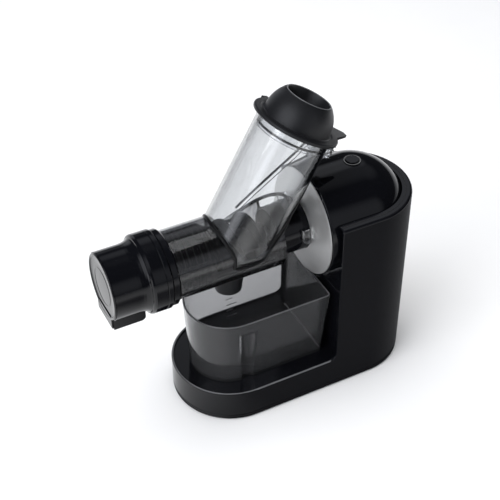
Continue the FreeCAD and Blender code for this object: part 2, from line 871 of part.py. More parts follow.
def make_front_spider():
    """The three-armed bearing that carries the screw's front end."""
    inner = drum_radius - drum_wall
    x1 = auger_front_x - spider_hub_rim
    x0 = x1 - spider_width
    body = tube_x(drive_shaft_radius + spider_hub_rim, drive_shaft_radius + run_gap, x0, x1)
    for i in range(spider_arms):
        arm = block(x0, x1, -spider_arm_width / 2, spider_arm_width / 2,
                    drive_shaft_radius + spider_hub_rim / 2, inner - spider_width / 2)
        arm.rotate(V(0, 0, 0), V(1, 0, 0), 360.0 / spider_arms * i)
        arm.translate(V(0, 0, axis_z))
        body = body.fuse(arm)
    body = body.fuse(tube_x(inner, inner - spider_width, x0, x1))
    return body.removeSplitter()


def hopper_cut():
    """The space above the filter that the feed tube opens into."""
    far = 2 * drum_radius
    return block(filter_hopper_x, filter_rear_x + far, -far, far, axis_z, axis_z + far)


def make_filter_frame():
    """The dark frame that holds the filter's mesh."""
    inner = filter_radius - filter_frame_thickness
    body = None
    for x0 in (filter_front_x, filter_hopper_x - filter_hoop_width):
        hoop = tube_x(filter_radius, inner, x0, x0 + filter_hoop_width)
        body = hoop if body is None else body.fuse(hoop)
    body = body.fuse(tube_x(filter_radius, inner, filter_rear_x - filter_hoop_width, filter_rear_x))
    for i in range(filter_bars):
        bar = block(filter_front_x, filter_rear_x, -filter_bar_width / 2, filter_bar_width / 2, inner + 0.2,
                    filter_radius - 0.2)
        bar.rotate(V(0, 0, 0), V(1, 0, 0), 360.0 / filter_bars * (i + 0.5))
        bar.translate(V(0, 0, axis_z))
        body = body.fuse(bar)
    return body.cut(hopper_cut()).removeSplitter()


def make_filter_mesh():
    """The fine steel mesh inside the frame."""
    outer = filter_radius - filter_frame_thickness
    inner = outer - filter_mesh_thickness
    x0 = filter_front_x
    return tube_x(outer, inner, x0, filter_rear_x).cut(hopper_cut())


def make_collar():
    """The collar ring behind the pulp cap."""
    body = tube_x(collar_radius, drum_radius, collar_front_x, collar_rear_x)
    rim = edges_where(body, lambda p: near(p.x, collar_rear_x) and near(abs(p.z - axis_z), collar_radius))
    body = body.makeFillet(collar_round, rim)
    a = math.radians(notch_angle)
    y = -collar_radius * math.cos(a)
    z = axis_z - collar_radius * math.sin(a)
    middle = (collar_front_x + collar_rear_x) / 2
    half = notch_length / 2
    notch = block(middle - half, middle + half, y - notch_depth, y + notch_depth, z - half, z + half)
    return body.cut(notch)


def cap_outline(inset):
    """The cap's outline of (x, radius) pairs, moved inwards by inset."""
    cove = []
    steps = 6
    length = cap_shoulder_x - cap_cove_front_x
    for i in range(steps + 1):
        a = math.pi / 2 * i / steps
        x = cap_cove_front_x + length * math.sin(a)
        r = cap_radius + (collar_radius - cap_round - cap_radius) * (1 - math.cos(a))
        cove.append((x, r - inset))
    crown = [(cap_shoulder_x + 0.6 * cap_round, collar_radius - 0.3 * cap_round - inset),
             (cap_shoulder_x + 1.6 * cap_round, collar_radius - inset)]
    return cove + crown


def make_pulp_cap():
    """The glossy cap, with the pulp outlet's chute under it."""
    back = collar_front_x - fit_gap
    outline = [(cap_front_x, 0), (cap_front_x, cap_radius)] + cap_outline(0)
    outline += [(back, collar_radius), (back, 0)]
    body = turned_x(outline)
    chute = block(cap_front_x, outlet_rear_x, -outlet_half_width, outlet_half_width,
                  axis_z - outlet_drop, axis_z)
    corner = edges_where(chute, lambda p: near(p.x, outlet_rear_x) and near(p.z, axis_z - outlet_drop))
    chute = chute.makeFillet(outlet_round, corner)
    body = body.fuse(chute)
    inner = cap_radius - cap_wall
    room = cyl_x(inner, cap_front_x - cover_thickness, drum_front_x)
    body = body.cut(room)
    seat = cyl_x(drum_radius + fit_gap, drum_front_x - 2 * fit_gap, 0)
    body = body.cut(seat)
    chute_room = block(cap_front_x + outlet_wall, outlet_rear_x - outlet_wall,
                       -outlet_half_width + outlet_wall, outlet_half_width - outlet_wall,
                       axis_z - 2 * outlet_drop, axis_z)
    return body.cut(chute_room)


def make_end_cover():
    """The flat cover on the cap's end."""
    x0 = cap_front_x - cover_thickness
    body = cyl_x(cap_radius - cover_inset, x0, cap_front_x)
    chute = block(x0, cap_front_x, -outlet_half_width + cover_inset, outlet_half_width - cover_inset,
                  axis_z - outlet_drop + cover_inset, axis_z)
    return body.fuse(chute).removeSplitter()


def make_spout():
    """The juice spout under the drum."""
    top = axis_z - math.sqrt(drum_radius ** 2 - spout_top_radius ** 2)
    low = axis_z - spout_drop
    body = Part.makeCone(spout_radius, spout_top_radius, top - low, V(spout_x, 0, low))
    body = body.fuse(cyl_z(spout_top_radius, top, axis_z, spout_x))
    body = body.cut(cyl_x(drum_radius, -2 * base_end_offset, 0))
    return body.cut(cyl_z(spout_bore(), 0, axis_z, spout_x)).removeSplitter()


def make_latch():
    """The small dark latch under the drum's rear end."""
    low = axis_z - drum_radius
    x1 = drum_rear_x
    x0 = x1 - latch_length
    half = latch_width / 2
    body = block(x0, x1, -half, half, low - latch_depth, low + latch_bite)
    return body.cut(cyl_x(drum_radius, x0 - 1, x1 + 1))


def make_auger():
    """The screw: a core that widens to the front, with one flight round it."""
    length = auger_rear_x - auger_front_x
    core = Part.makeCone(auger_core_front, auger_core_rear, length, V(auger_front_x, 0, 0), V(1, 0, 0))
    body = core
    flight = helix_flight(length)
    body = body.fuse(flight)
    body = body.cut(cyl_x(drive_shaft_radius, auger_front_x - 1, auger_rear_x + 1, 0, 0))
    body.translate(V(0, 0, axis_z))
    return body


def helix_flight(length):
    """The screw's flight as one swept band along X, at height zero."""
    run = length - auger_flight
    helix = Part.makeHelix(auger_pitch, run, auger_radius)
    low = auger_core_rear * 0.6
    half = auger_flight / 2
    face = polygon([
        V(low, 0, -half),
        V(auger_radius, 0, -half * 0.6),
        V(auger_radius, 0, half * 0.6),
        V(low, 0, half),
    ])
    flight = Part.Wire(helix).makePipeShell([face], True, True)
    flight.rotate(V(0, 0, 0), V(0, 1, 0), 90)
    flight.translate(V(auger_front_x + half, 0, 0))
    return flight


def make_auger_shaft():
    """The steel shaft through the screw, with a hexagonal socket at its rear."""
    front = auger_front_x - spider_hub_rim - spider_width - 2
    body = cyl_x(drive_shaft_radius, front, coupling_front_x)
    hub = cyl_x(coupling_radius, coupling_front_x, neck_rear_x - 2 * fit_gap)
    body = body.fuse(hub)
    socket = hexagon_x(hex_flats + 2 * hex_gap, hex_front_x - 1, neck_rear_x + 1)
    return body.cut(socket).removeSplitter()


def make_pusher_cap():
    """The pusher's flange and dome, with a dish in its top."""
    z0 = tube_length + fit_gap
    z1 = z0 + flange_thickness
    flange = Part.makeCylinder(flange_radius, flange_thickness, V(0, 0, z0))
    tip = Part.makeCylinder(ear_width / 2, flange_thickness, V(flange_radius - ear_width / 2 + ear_length, 0, z0))
    flange = flange.fuse(tip)
    flange = flange.fuse(Part.makeBox(flange_radius / 2 + ear_length, ear_width, flange_thickness,
                                      V(flange_radius / 2 - ear_width / 2, -ear_width / 2, z0)))
    flange = flange.removeSplitter()
    rim = [e for e in flange.Edges if e.BoundBox.ZLength < 0.01]
    flange = flange.makeFillet(flange_round, rim)
    steps = 8
    profile = [V(0, 0, z1 - 1)]
    for i in range(steps + 1):
        t = i / steps
        bulge = math.cos(math.acos(dome_top_radius / dome_foot_radius) * t)
        rise = math.sin(math.acos(dome_top_radius / dome_foot_radius) * t)
        full = math.sin(math.acos(dome_top_radius / dome_foot_radius))
        profile.append(V(dome_foot_radius * bulge, 0, z1 - 1 + (dome_height + 1) * rise / full))
    top = z1 + dome_height
    profile.append(V(dome_top_radius - 2, 0, top))
    dish_steps = 5
    for i in range(1, dish_steps + 1):
        t = i / dish_steps
        profile.append(V((dome_top_radius - 2) * (1 - t), 0, top - dome_dish_depth * math.sin(t * math.pi / 2)))
    profile.pop()
    profile.append(V(0, 0, top - dome_dish_depth))
    dome = Part.Face(polygon(profile)).revolve(V(0, 0, 0), V(0, 0, 1), 360)
    body = flange.fuse(dome)
    hollow = Part.makeCone(dome_foot_radius - dome_wall - 3, dome_top_radius - dome_wall - 6,
                           dome_height + flange_thickness - dome_dish_depth - dome_wall, V(0, 0, z0))
    return on_tube(body.cut(hollow))


def make_pusher_plug():
    """The short skirt of the pusher that goes into the tube."""
    outer = tube_bore - plug_gap
    z0 = tube_length + fit_gap - plug_length
    body = Part.makeCylinder(outer, plug_length, V(0, 0, z0))
    body = body.cut(Part.makeCylinder(outer - plug_wall, plug_length - plug_wall, V(0, 0, z0)))
    groove = Part.makeCylinder(outer + 1, seal_width, V(0, 0, z0 + 3))
    groove = groove.cut(Part.makeCylinder(outer - 1, seal_width, V(0, 0, z0 + 3)))
    return on_tube(body.cut(groove))


def make_pusher_seal():
    """The soft ring round the pusher's skirt."""
    outer = tube_bore - plug_gap
    z0 = tube_length + fit_gap - plug_length + 3
    body = Part.makeCylinder(outer + plug_gap - fit_gap, seal_width, V(0, 0, z0))
    body = body.cut(Part.makeCylinder(outer - 1, seal_width, V(0, 0, z0)))
    return on_tube(body)


def jug_wire(half, right, corner, z):
    """The jug's outline: round at the left, square with small corners at the right."""
    c = jug_center_x
    s = corner * (1 - math.sqrt(0.5))
    edges = [
        Part.makeLine(V(c, -half, z), V(right - corner, -half, z)),
        Part.Arc(V(right - corner, -half, z), V(right - s, -half + s, z), V(right, -half + corner, z)).toShape(),
        Part.makeLine(V(right, -half + corner, z), V(right, half - corner, z)),
        Part.Arc(V(right, half - corner, z), V(right - s, half - s, z), V(right - corner, half, z)).toShape(),
        Part.makeLine(V(right - corner, half, z), V(c, half, z)),
        Part.Arc(V(c, half, z), V(c - half, 0, z), V(c, -half, z)).toShape(),
    ]
    return Part.Wire(edges)


def jug_at(height):
    """The jug's half width and right end at a height above its floor."""
    t = height / jug_height
    half = jug_floor_half + (jug_rim_half - jug_floor_half) * t
    right = jug_floor_right + (jug_rim_right - jug_floor_right) * t
    return half, right


def jug_solid(inset, low, high):
    """The jug's tapered form between two heights above its foot."""
    wires = []
    for h in (low, high):
        half, right = jug_at(h)
        corner = max(1.0, jug_corner - inset)
        wires.append(jug_wire(half - inset, right - inset, corner, deck_top + h))
    return Part.makeLoft(wires, True, True)


def flute_cutter(extra):
    """The hollow flute down the jug's front, wider by extra."""
    y = -jug_floor_half - flute_radius + flute_depth
    top = deck_top + jug_height - flute_top_gap
    return cyl_z(flute_radius + extra, deck_top - 1, top + extra, jug_center_x + flute_radius / 4, y)


def make_jug():
    """The smoky clear jug."""
    body = jug_solid(0, 0, jug_height)
    body = body.cut(flute_cutter(0))
    room = jug_solid(jug_wall, jug_floor, jug_height + 1)
    room = room.cut(flute_cutter(jug_wall))
    return body.cut(room)


def make_jug_marks():
    """The level marks on the inside of the jug's back wall."""
    marks = []
    for i in range(mark_count):
        h = mark_first + mark_step * i
        half, right = jug_at(h)
        wide = mark_length if i % 2 else 1.6 * mark_length
        y1 = half - jug_wall
        x0 = jug_center_x + 2 * flute_radius
        marks.append(block(x0, x0 + wide, y1 - mark_depth, y1, deck_top + h, deck_top + h + mark_height))
    return Part.Compound(marks)


def main():
    """Make and write every piece."""
    os.makedirs("parts", exist_ok=True)
    save("outer_wrap", make_outer_wrap())
    save("base_plate", make_base_plate())
    save("rubber_foot", make_feet())
    save("base_screw", make_base_screws())
    save("deck_tray", make_deck())
    save("front_panel", make_front_panel())
    save("core_dome", make_core_dome())
    save("steel_ring", make_steel_ring())
    save("neck_socket", make_socket())
    save("mains_inlet", make_mains_inlet())
    save("button_bezel", make_bezel())
    save("button_light", make_light_ring())
    save("button_guide", make_button_guide())
    save("power_button", make_button())
    save("gear_case", make_gear_case())
    save("shaft_bearing", make_shaft_bearings())
    save("motor_mount", make_motor_mount())
    save("motor_can", make_motor_can())
    save("stator", make_stator())
    save("motor_bearing", make_motor_bearings())
    save("rotor", make_rotor())
    save("motor_fan", make_fan())
    save("motor_pinion", make_motor_pinion())
    save("reduction_gear", make_reduction_gear())
    save("reduction_pinion", make_reduction_pinion())
    save("output_gear", make_output_gear())
    save("drive_shaft", make_drive_shaft())
    save("control_board", make_control_board())
    save("safety_switch", make_safety_switch())
    save("drum", make_drum())
    save("feed_tube", make_feed_tube())
    save("tube_keyway", make_keyway())
    save("drum_neck", make_neck())
    save("bayonet_lug", make_lugs())
    save("rear_bush", make_rear_bush())
    save("front_spider", make_front_spider())
    save("filter_frame", make_filter_frame())
    save("filter_mesh", make_filter_mesh())
    save("drum_collar", make_collar())
    save("pulp_cap", make_pulp_cap())
    save("end_cover", make_end_cover())
    save("juice_spout", make_spout())
    save("drum_latch", make_latch())
    save("auger", make_auger())
    save("auger_shaft", make_auger_shaft())
    save("pusher_cap", make_pusher_cap())
    save("pusher_plug", make_pusher_plug())
    save("pusher_seal", make_pusher_seal())
    save("jug", make_jug())
    save("jug_mark", make_jug_marks())


main()
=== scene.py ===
# %% [markdown]
# # Cold press juicer
# A lying juicer: a black base with a tray, a round-topped motor tower at the
# right, a clear drum with a leaning feed tube at the left, and a smoky jug
# under it. Most of its outside is black plastic, so what the eye reads is not
# colour but how each finish takes the light: mirror gloss on the tower and the
# caps, satin on the pusher, brushed steel round the drum's neck and clear
# plastic with dark outlines. The measured solids are loaded first. They give
# every piece its place, and they stay in view where their shape is right.

# %% The measured solids
import bpy
import bmesh
import json
import math
from mathutils import Matrix, Vector

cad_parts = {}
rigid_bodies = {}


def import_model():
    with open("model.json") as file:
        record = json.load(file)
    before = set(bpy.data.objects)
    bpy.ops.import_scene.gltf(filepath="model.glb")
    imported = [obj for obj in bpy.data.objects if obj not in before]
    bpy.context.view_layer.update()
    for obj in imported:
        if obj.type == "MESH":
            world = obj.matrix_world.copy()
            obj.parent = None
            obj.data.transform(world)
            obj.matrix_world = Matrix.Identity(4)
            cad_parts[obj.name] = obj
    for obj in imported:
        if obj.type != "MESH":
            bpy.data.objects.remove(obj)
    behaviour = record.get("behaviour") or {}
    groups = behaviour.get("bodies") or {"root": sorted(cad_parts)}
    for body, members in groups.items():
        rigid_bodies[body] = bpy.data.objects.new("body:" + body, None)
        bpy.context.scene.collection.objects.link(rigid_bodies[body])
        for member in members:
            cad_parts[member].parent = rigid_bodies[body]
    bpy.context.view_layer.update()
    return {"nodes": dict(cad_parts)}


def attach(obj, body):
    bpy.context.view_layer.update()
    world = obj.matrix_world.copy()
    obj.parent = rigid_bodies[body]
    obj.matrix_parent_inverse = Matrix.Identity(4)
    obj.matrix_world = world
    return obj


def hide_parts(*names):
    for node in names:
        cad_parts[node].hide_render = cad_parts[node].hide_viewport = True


for leftover in list(bpy.data.objects):
    bpy.data.objects.remove(leftover)
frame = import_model()
nodes = frame["nodes"]

# %% [markdown]
# ## Groups of nodes for the finishes
# A finish is more than a colour. Moulded plastic has a fine grain, a polished
# one has smudges and specks of dust, and turned metal has lines round its
# axis. Each effect is used by several finishes, so each is made once as a node
# group with named sockets. A group only puts out values that vary over the
# surface. They could be painted as images, but nodes stay sharp at any
# distance and need no unwrapping. All read Object coordinates, in metres.

# %% Helpers for groups
def start_group(name, inputs, outputs):
    """A shader node group, its input node and its output node."""
    tree = bpy.data.node_groups.new(name, "ShaderNodeTree")
    for label, value in inputs.items():
        socket = tree.interface.new_socket(name=label, in_out="INPUT", socket_type="NodeSocketFloat")
        socket.default_value = value
    for label in outputs:
        tree.interface.new_socket(name=label, in_out="OUTPUT", socket_type="NodeSocketFloat")
    return tree, tree.nodes.new("NodeGroupInput"), tree.nodes.new("NodeGroupOutput")


def add_noise(tree, scale, detail=2.0, vector=None, dimensions="3D"):
    """A noise texture on Object coordinates, or on the vector given."""
    node = tree.nodes.new("ShaderNodeTexNoise")
    node.noise_dimensions = dimensions
    node.inputs["Detail"].default_value = detail
    if isinstance(scale, (int, float)):
        node.inputs["Scale"].default_value = scale
    else:
        tree.links.new(scale, node.inputs["Scale"])
    if vector is None:
        vector = object_place(tree)
    target = "W" if dimensions == "1D" else "Vector"
    tree.links.new(vector, node.inputs[target])
    return node.outputs["Fac"]


def add_math(tree, operation, *values):
    """A Math node: numbers are set on its sockets, and outputs are linked."""
    node = tree.nodes.new("ShaderNodeMath")
    node.operation = operation
    for socket, value in zip(node.inputs, values):
        if isinstance(value, (int, float)):
            socket.default_value = value
        else:
            tree.links.new(value, socket)
    return node.outputs[0]


def object_place(tree):
    """Object coordinates, in metres."""
    return tree.nodes.new("ShaderNodeTexCoord").outputs["Object"]


def split_vector(tree, vector):
    """The X, Y and Z outputs of a vector."""
    node = tree.nodes.new("ShaderNodeSeparateXYZ")
    tree.links.new(vector, node.inputs[0])
    return node.outputs


def smooth_span(tree, value, low, high, start, end):
    """A value eased from start, where the input is low, to end, where it is high."""
    node = tree.nodes.new("ShaderNodeMapRange")
    node.interpolation_type = "SMOOTHSTEP"
    for label, number in (("From Min", low), ("From Max", high), ("To Min", start), ("To Max", end)):
        node.inputs[label].default_value = number
    tree.links.new(value, node.inputs["Value"])
    return node.outputs[0]


# %% Fine grain of moulded plastic
grain, ins, outs = start_group("Moulded grain", {"Scale": 2500.0, "Depth": 1.0}, ["Height"])
speckle = add_noise(grain, ins.outputs["Scale"], 3.0)
grain.links.new(add_math(grain, "MULTIPLY", speckle, ins.outputs["Depth"]), outs.inputs["Height"])
print("group:", grain.name)

# %% [markdown]
# Hands leave broad soft smudges on gloss, and dust settles on it as small
# specks. Smudges only change how sharp the reflection is, and dust greys the
# colour too. So this group puts out a roughness between two given values, and
# a mask of the dust, which lies on upward faces.

# %% Smudges and specks
marks, ins, outs = start_group("Handling marks", {"Clean": 0.06, "Smudged": 0.14, "Specks": 0.1},
                               ["Roughness", "Dust"])
cloud = add_noise(marks, 14.0, 4.0)
cloud = add_math(marks, "SMOOTH_MAX", add_math(marks, "SUBTRACT", cloud, 0.42), 0.0, 0.1)
cloud = add_math(marks, "MINIMUM", add_math(marks, "MULTIPLY", cloud, 3.2), 1.0)
span = add_math(marks, "SUBTRACT", ins.outputs["Smudged"], ins.outputs["Clean"])
soft = add_math(marks, "MULTIPLY_ADD", cloud, span, ins.outputs["Clean"])
specks = add_noise(marks, 900.0, 1.0)
specks = add_math(marks, "GREATER_THAN", specks, 0.73)
normal = marks.nodes.new("ShaderNodeNewGeometry").outputs["Normal"]
upward = add_math(marks, "MAXIMUM", split_vector(marks, normal)["Z"], 0.0)
specks = add_math(marks, "MULTIPLY", add_math(marks, "MULTIPLY", specks, upward), ins.outputs["Specks"])
marks.links.new(add_math(marks, "ADD", soft, specks), outs.inputs["Roughness"])
marks.links.new(specks, outs.inputs["Dust"])
print("group:", marks.name)

# %% [markdown]
# The drum, its collar, the steel cone and the shafts are all turned about the
# screw's axis. The lines of such a piece follow the distance from that axis,
# or the place along it. The first two sockets say how much of each is read.

# %% Lines round the screw's axis
AXIS_HEIGHT = 0.214
turned_lines, ins, outs = start_group("Turned lines", {"Radial": 1.0, "Along": 0.0, "Scale": 2500.0,
                                                       "Depth": 1.0}, ["Height"])
split = split_vector(turned_lines, object_place(turned_lines))
up = add_math(turned_lines, "SUBTRACT", split["Z"], AXIS_HEIGHT)
radius = add_math(turned_lines, "SQRT", add_math(turned_lines, "ADD",
                  add_math(turned_lines, "MULTIPLY", up, up),
                  add_math(turned_lines, "MULTIPLY", split["Y"], split["Y"])))
across = add_math(turned_lines, "MULTIPLY", radius, ins.outputs["Radial"])
across = add_math(turned_lines, "MULTIPLY_ADD", split["X"], ins.outputs["Along"], across)
across = add_math(turned_lines, "MULTIPLY", across, ins.outputs["Scale"])
lines = add_noise(turned_lines, 1.0, 2.0, across, "1D")
turned_lines.links.new(add_math(turned_lines, "MULTIPLY", lines, ins.outputs["Depth"]),
                       outs.inputs["Height"])
print("group:", turned_lines.name)

# %% [markdown]
# The filter is a sheet rolled into a tube and pierced with rows of tiny holes.
# Cutting thousands of holes would cost far more faces than they are worth at
# this size, so the group counts along the tube and round it, and marks a dot
# in each step of both.

# %% Rows of tiny holes
holes, ins, outs = start_group("Pierced sheet", {"Pitch": 0.0016, "Hole": 0.3, "Radius": 0.034}, ["Hole"])
split = split_vector(holes, object_place(holes))
angle = add_math(holes, "ARCTAN2", split["Y"], add_math(holes, "SUBTRACT", split["Z"], AXIS_HEIGHT))
row = add_math(holes, "DIVIDE", split["X"], ins.outputs["Pitch"])
turn = add_math(holes, "DIVIDE", add_math(holes, "MULTIPLY", angle, ins.outputs["Radius"]),
                ins.outputs["Pitch"])
row = add_math(holes, "SUBTRACT", add_math(holes, "FRACT", row), 0.5)
turn = add_math(holes, "SUBTRACT", add_math(holes, "FRACT", turn), 0.5)
reach = add_math(holes, "SQRT", add_math(holes, "ADD", add_math(holes, "MULTIPLY", row, row),
                                         add_math(holes, "MULTIPLY", turn, turn)))
holes.links.new(add_math(holes, "LESS_THAN", reach, ins.outputs["Hole"]), outs.inputs["Hole"])
print("group:", holes.name)

# %% [markdown]
# ## The finishes
# Each finish is a Principled shader. What is the same all over is set on the
# shader itself, and the groups feed only what varies.

# %% Helpers for a finish
def new_finish(name, colour, roughness, **constants):
    """A material with its constants set, its node tree and its shader."""
    material = bpy.data.materials.new(name)
    material.use_nodes = True
    tree = material.node_tree
    shader = tree.nodes["Principled BSDF"]
    shader.inputs["Base Color"].default_value = (*colour, 1.0)
    shader.inputs["Roughness"].default_value = roughness
    for label, value in constants.items():
        shader.inputs[label.replace("_", " ")].default_value = value
    material.diffuse_color = (*colour, 1.0)
    return material, tree, shader


def place_group(tree, group, **values):
    """A node group in a material, with its own values."""
    node = tree.nodes.new("ShaderNodeGroup")
    node.node_tree = group
    for label, value in values.items():
        node.inputs[label].default_value = value
    return node


def add_bump(tree, shader, height, distance, strength=1.0):
    """A Bump node from a height to the shader's normal."""
    bump = tree.nodes.new("ShaderNodeBump")
    bump.inputs["Distance"].default_value = distance
    bump.inputs["Strength"].default_value = strength
    tree.links.new(height, bump.inputs["Height"])
    tree.links.new(bump.outputs["Normal"], shader.inputs["Normal"])


def mix_colours(tree, mask, first, second):
    """A colour that goes from the first to the second where the mask says."""
    mix = tree.nodes.new("ShaderNodeMix")
    mix.data_type = "RGBA"
    mix.inputs[6].default_value = (*first, 1.0)
    mix.inputs[7].default_value = (*second, 1.0)
    tree.links.new(mask, mix.inputs[0])
    return mix.outputs[2]


finish = {}

# %% [markdown]
# The tower, the base and the caps are moulded in black plastic with a mirror
# gloss. Real gloss mouldings are never perfectly flat: a very shallow, broad
# ripple makes long reflections swim a little, and without it they look drawn
# with a ruler.

# %% Gloss black
BLACK = (0.0028, 0.003, 0.0042)
finish["gloss_black"], tree, shader = new_finish("gloss_black", BLACK, 0.08,
                                                 IOR=1.5, Specular_IOR_Level=0.34)
wear = place_group(tree, marks, Clean=0.07, Smudged=0.13, Specks=0.12)
tree.links.new(wear.outputs["Roughness"], shader.inputs["Roughness"])
tree.links.new(mix_colours(tree, wear.outputs["Dust"], BLACK, (0.06, 0.06, 0.062)),
               shader.inputs["Base Color"])
ripple = place_group(tree, grain, Scale=38.0, Depth=1.0)
add_bump(tree, shader, ripple.outputs["Height"], 0.00012, 0.5)
print("finish: gloss_black")

# %% [markdown]
# Lips and ridges are rounded over less than a millimetre, so a pixel sees the
# whole turn of the edge at once and reads it as a brighter line. So these edges
# have a finish of their own, with a stronger reflection and a lighter grey
# that is a painted highlight for that line.

# %% Edges with a painted highlight
finish["edge_painted_highlight"], tree, shader = new_finish("edge_painted_highlight", (0.11, 0.112, 0.118), 0.2, IOR=1.6,
                                                Specular_IOR_Level=0.8)
wear = place_group(tree, marks, Clean=0.16, Smudged=0.26, Specks=0.1)
tree.links.new(wear.outputs["Roughness"], shader.inputs["Roughness"])
highlight_tone = place_group(tree, grain, Scale=90.0, Depth=1.0)
# A lighter grey than the gloss black, varied by a coarse noise: a painted highlight on rounded edges.
tree.links.new(mix_colours(tree, highlight_tone.outputs["Height"], (0.08, 0.081, 0.086), (0.15, 0.152, 0.158)),
               shader.inputs["Base Color"])
print("finish: edge_painted_highlight")

# %% [markdown]
# The pusher, the spout and the inner frames are satin: the mould was etched, so
# a fine grain scatters the light and the highlight is wide and grey.

# %% Satin black
SATIN = (0.0075, 0.0078, 0.009)
finish["satin_black"], tree, shader = new_finish("satin_black", SATIN, 0.4)
wear = place_group(tree, marks, Clean=0.36, Smudged=0.46, Specks=0.2)
tree.links.new(wear.outputs["Roughness"], shader.inputs["Roughness"])
tree.links.new(mix_colours(tree, wear.outputs["Dust"], SATIN, (0.09, 0.09, 0.09)),
               shader.inputs["Base Color"])
etched = place_group(tree, grain, Scale=2600.0, Depth=1.0)
add_bump(tree, shader, etched.outputs["Height"], 0.00006, 0.6)
print("finish: satin_black")

# %% [markdown]
# Inside the drum the screw and the filter's frame are the same satin black,
# but wet use keeps them smoother and the drum shades them, so they have a
# darker and quieter version of it.

# %% Satin black inside the drum
finish["inner_black"], tree, shader = new_finish("inner_black", (0.003, 0.0031, 0.0036), 0.34,
                                                 Specular_IOR_Level=0.3)
wear = place_group(tree, marks, Clean=0.3, Smudged=0.42, Specks=0.0)
tree.links.new(wear.outputs["Roughness"], shader.inputs["Roughness"])
etched = place_group(tree, grain, Scale=2600.0, Depth=1.0)
add_bump(tree, shader, etched.outputs["Height"], 0.00005, 0.4)
tree.links.new(mix_colours(tree, etched.outputs["Height"], (0.002, 0.0021, 0.0025), (0.0045, 0.0046, 0.005)),
               shader.inputs["Base Color"])
print("finish: inner_black")

# %% [markdown]
# The feet, the inlet bush and the seals are dark rubber. It could be a plain
# matt black, but a cloudy noise and a fine bump keep it from looking flat.

# %% Rubber
finish["dark_rubber"], tree, shader = new_finish("dark_rubber", (0.014, 0.014, 0.0145), 0.7)
cloudy = add_noise(tree, 240.0, 4.0)
tree.links.new(mix_colours(tree, cloudy, (0.010, 0.010, 0.0105), (0.026, 0.026, 0.0265)),
               shader.inputs["Base Color"])
matt = place_group(tree, grain, Scale=1500.0, Depth=1.0)
add_bump(tree, shader, matt.outputs["Height"], 0.0001, 0.7)
print("finish: dark_rubber")

# %% [markdown]
# The cone round the drum's neck is spun from steel sheet and brushed while it
# turns, so its highlights fan out from the centre. The brush lines are a noise
# of the distance from the axis, and the shader's own anisotropy stretches the
# highlight across them.

# %% Brushed steel
finish["steel"], tree, shader = new_finish("steel", (0.86, 0.86, 0.85), 0.3, Metallic=0.8,
                                           Anisotropic=0.55)
brushed = place_group(tree, turned_lines, Radial=1.0, Along=0.0, Scale=5200.0, Depth=1.0)
tree.links.new(mix_colours(tree, brushed.outputs["Height"], (0.62, 0.62, 0.616), (0.8, 0.8, 0.795)),
               shader.inputs["Base Color"])
rough = add_math(tree, "MULTIPLY_ADD", brushed.outputs["Height"], 0.12, 0.27)
tree.links.new(rough, shader.inputs["Roughness"])
add_bump(tree, shader, brushed.outputs["Height"], 0.00002, 0.35)
tangent = tree.nodes.new("ShaderNodeTangent")
tangent.direction_type = "RADIAL"
tangent.axis = "X"
tree.links.new(tangent.outputs[0], shader.inputs["Tangent"])
print("finish: steel")

# %% [markdown]
# Shafts, bearings and screws are ground steel. The same lines round the axis
# serve for them, read along the axis, with more contrast and a darker grey.

# %% Shafts, bearings and screws
finish["shaft_steel"], tree, shader = new_finish("shaft_steel", (0.42, 0.42, 0.43), 0.3, Metallic=1.0)
ground = place_group(tree, turned_lines, Radial=0.2, Along=1.0, Scale=3800.0, Depth=1.0)
tree.links.new(add_math(tree, "MULTIPLY_ADD", ground.outputs["Height"], 0.2, 0.18),
               shader.inputs["Roughness"])
tree.links.new(mix_colours(tree, ground.outputs["Height"], (0.3, 0.3, 0.31), (0.56, 0.56, 0.57)),
               shader.inputs["Base Color"])
print("finish: shaft_steel")

# %% [markdown]
# The motor's can is plated sheet. Its crystals are patches of slightly
# different grey and gloss, and a coarse noise gives both.

# %% Motor can and mounts
finish["can_metal"], tree, shader = new_finish("can_metal", (0.5, 0.5, 0.48), 0.42, Metallic=1.0)
spangle = add_noise(tree, 130.0, 1.0)
tree.links.new(mix_colours(tree, spangle, (0.34, 0.34, 0.33), (0.66, 0.66, 0.64)),
               shader.inputs["Base Color"])
tree.links.new(add_math(tree, "MULTIPLY_ADD", spangle, 0.25, 0.28), shader.inputs["Roughness"])
print("finish: can_metal")

# %% [markdown]
# The stator and the rotor are stacks of thin iron sheets. Lines along the axis
# show the stack, in the colour and in a small bump.

# %% Stacked motor iron
finish["motor_iron"], tree, shader = new_finish("motor_iron", (0.16, 0.15, 0.14), 0.5, Metallic=0.9)
stack = place_group(tree, turned_lines, Radial=0.0, Along=1.0, Scale=2000.0, Depth=1.0)
tree.links.new(mix_colours(tree, stack.outputs["Height"], (0.08, 0.075, 0.07), (0.3, 0.29, 0.28)),
               shader.inputs["Base Color"])
add_bump(tree, shader, stack.outputs["Height"], 0.0001, 0.6)
print("finish: motor_iron")

# %% [markdown]
# The gears are cream nylon. A little light enters such plastic, so it gets a
# small share of subsurface scattering and a milky noise.

# %% Gear plastic
finish["gear_plastic"], tree, shader = new_finish("gear_plastic", (0.7, 0.66, 0.55), 0.38,
                                                  Subsurface_Weight=0.1)
milky = add_noise(tree, 60.0, 3.0)
tree.links.new(mix_colours(tree, milky, (0.62, 0.58, 0.47), (0.78, 0.74, 0.64)),
               shader.inputs["Base Color"])
print("finish: gear_plastic")

# %% [markdown]
# The board is green lacquer over a glass weave, which a fine noise stands for.

# %% Circuit board
finish["board_green"], tree, shader = new_finish("board_green", (0.02, 0.09, 0.035), 0.35)
weave = add_noise(tree, 700.0, 1.0)
tree.links.new(mix_colours(tree, weave, (0.012, 0.06, 0.022), (0.035, 0.13, 0.05)),
               shader.inputs["Base Color"])
print("finish: board_green")
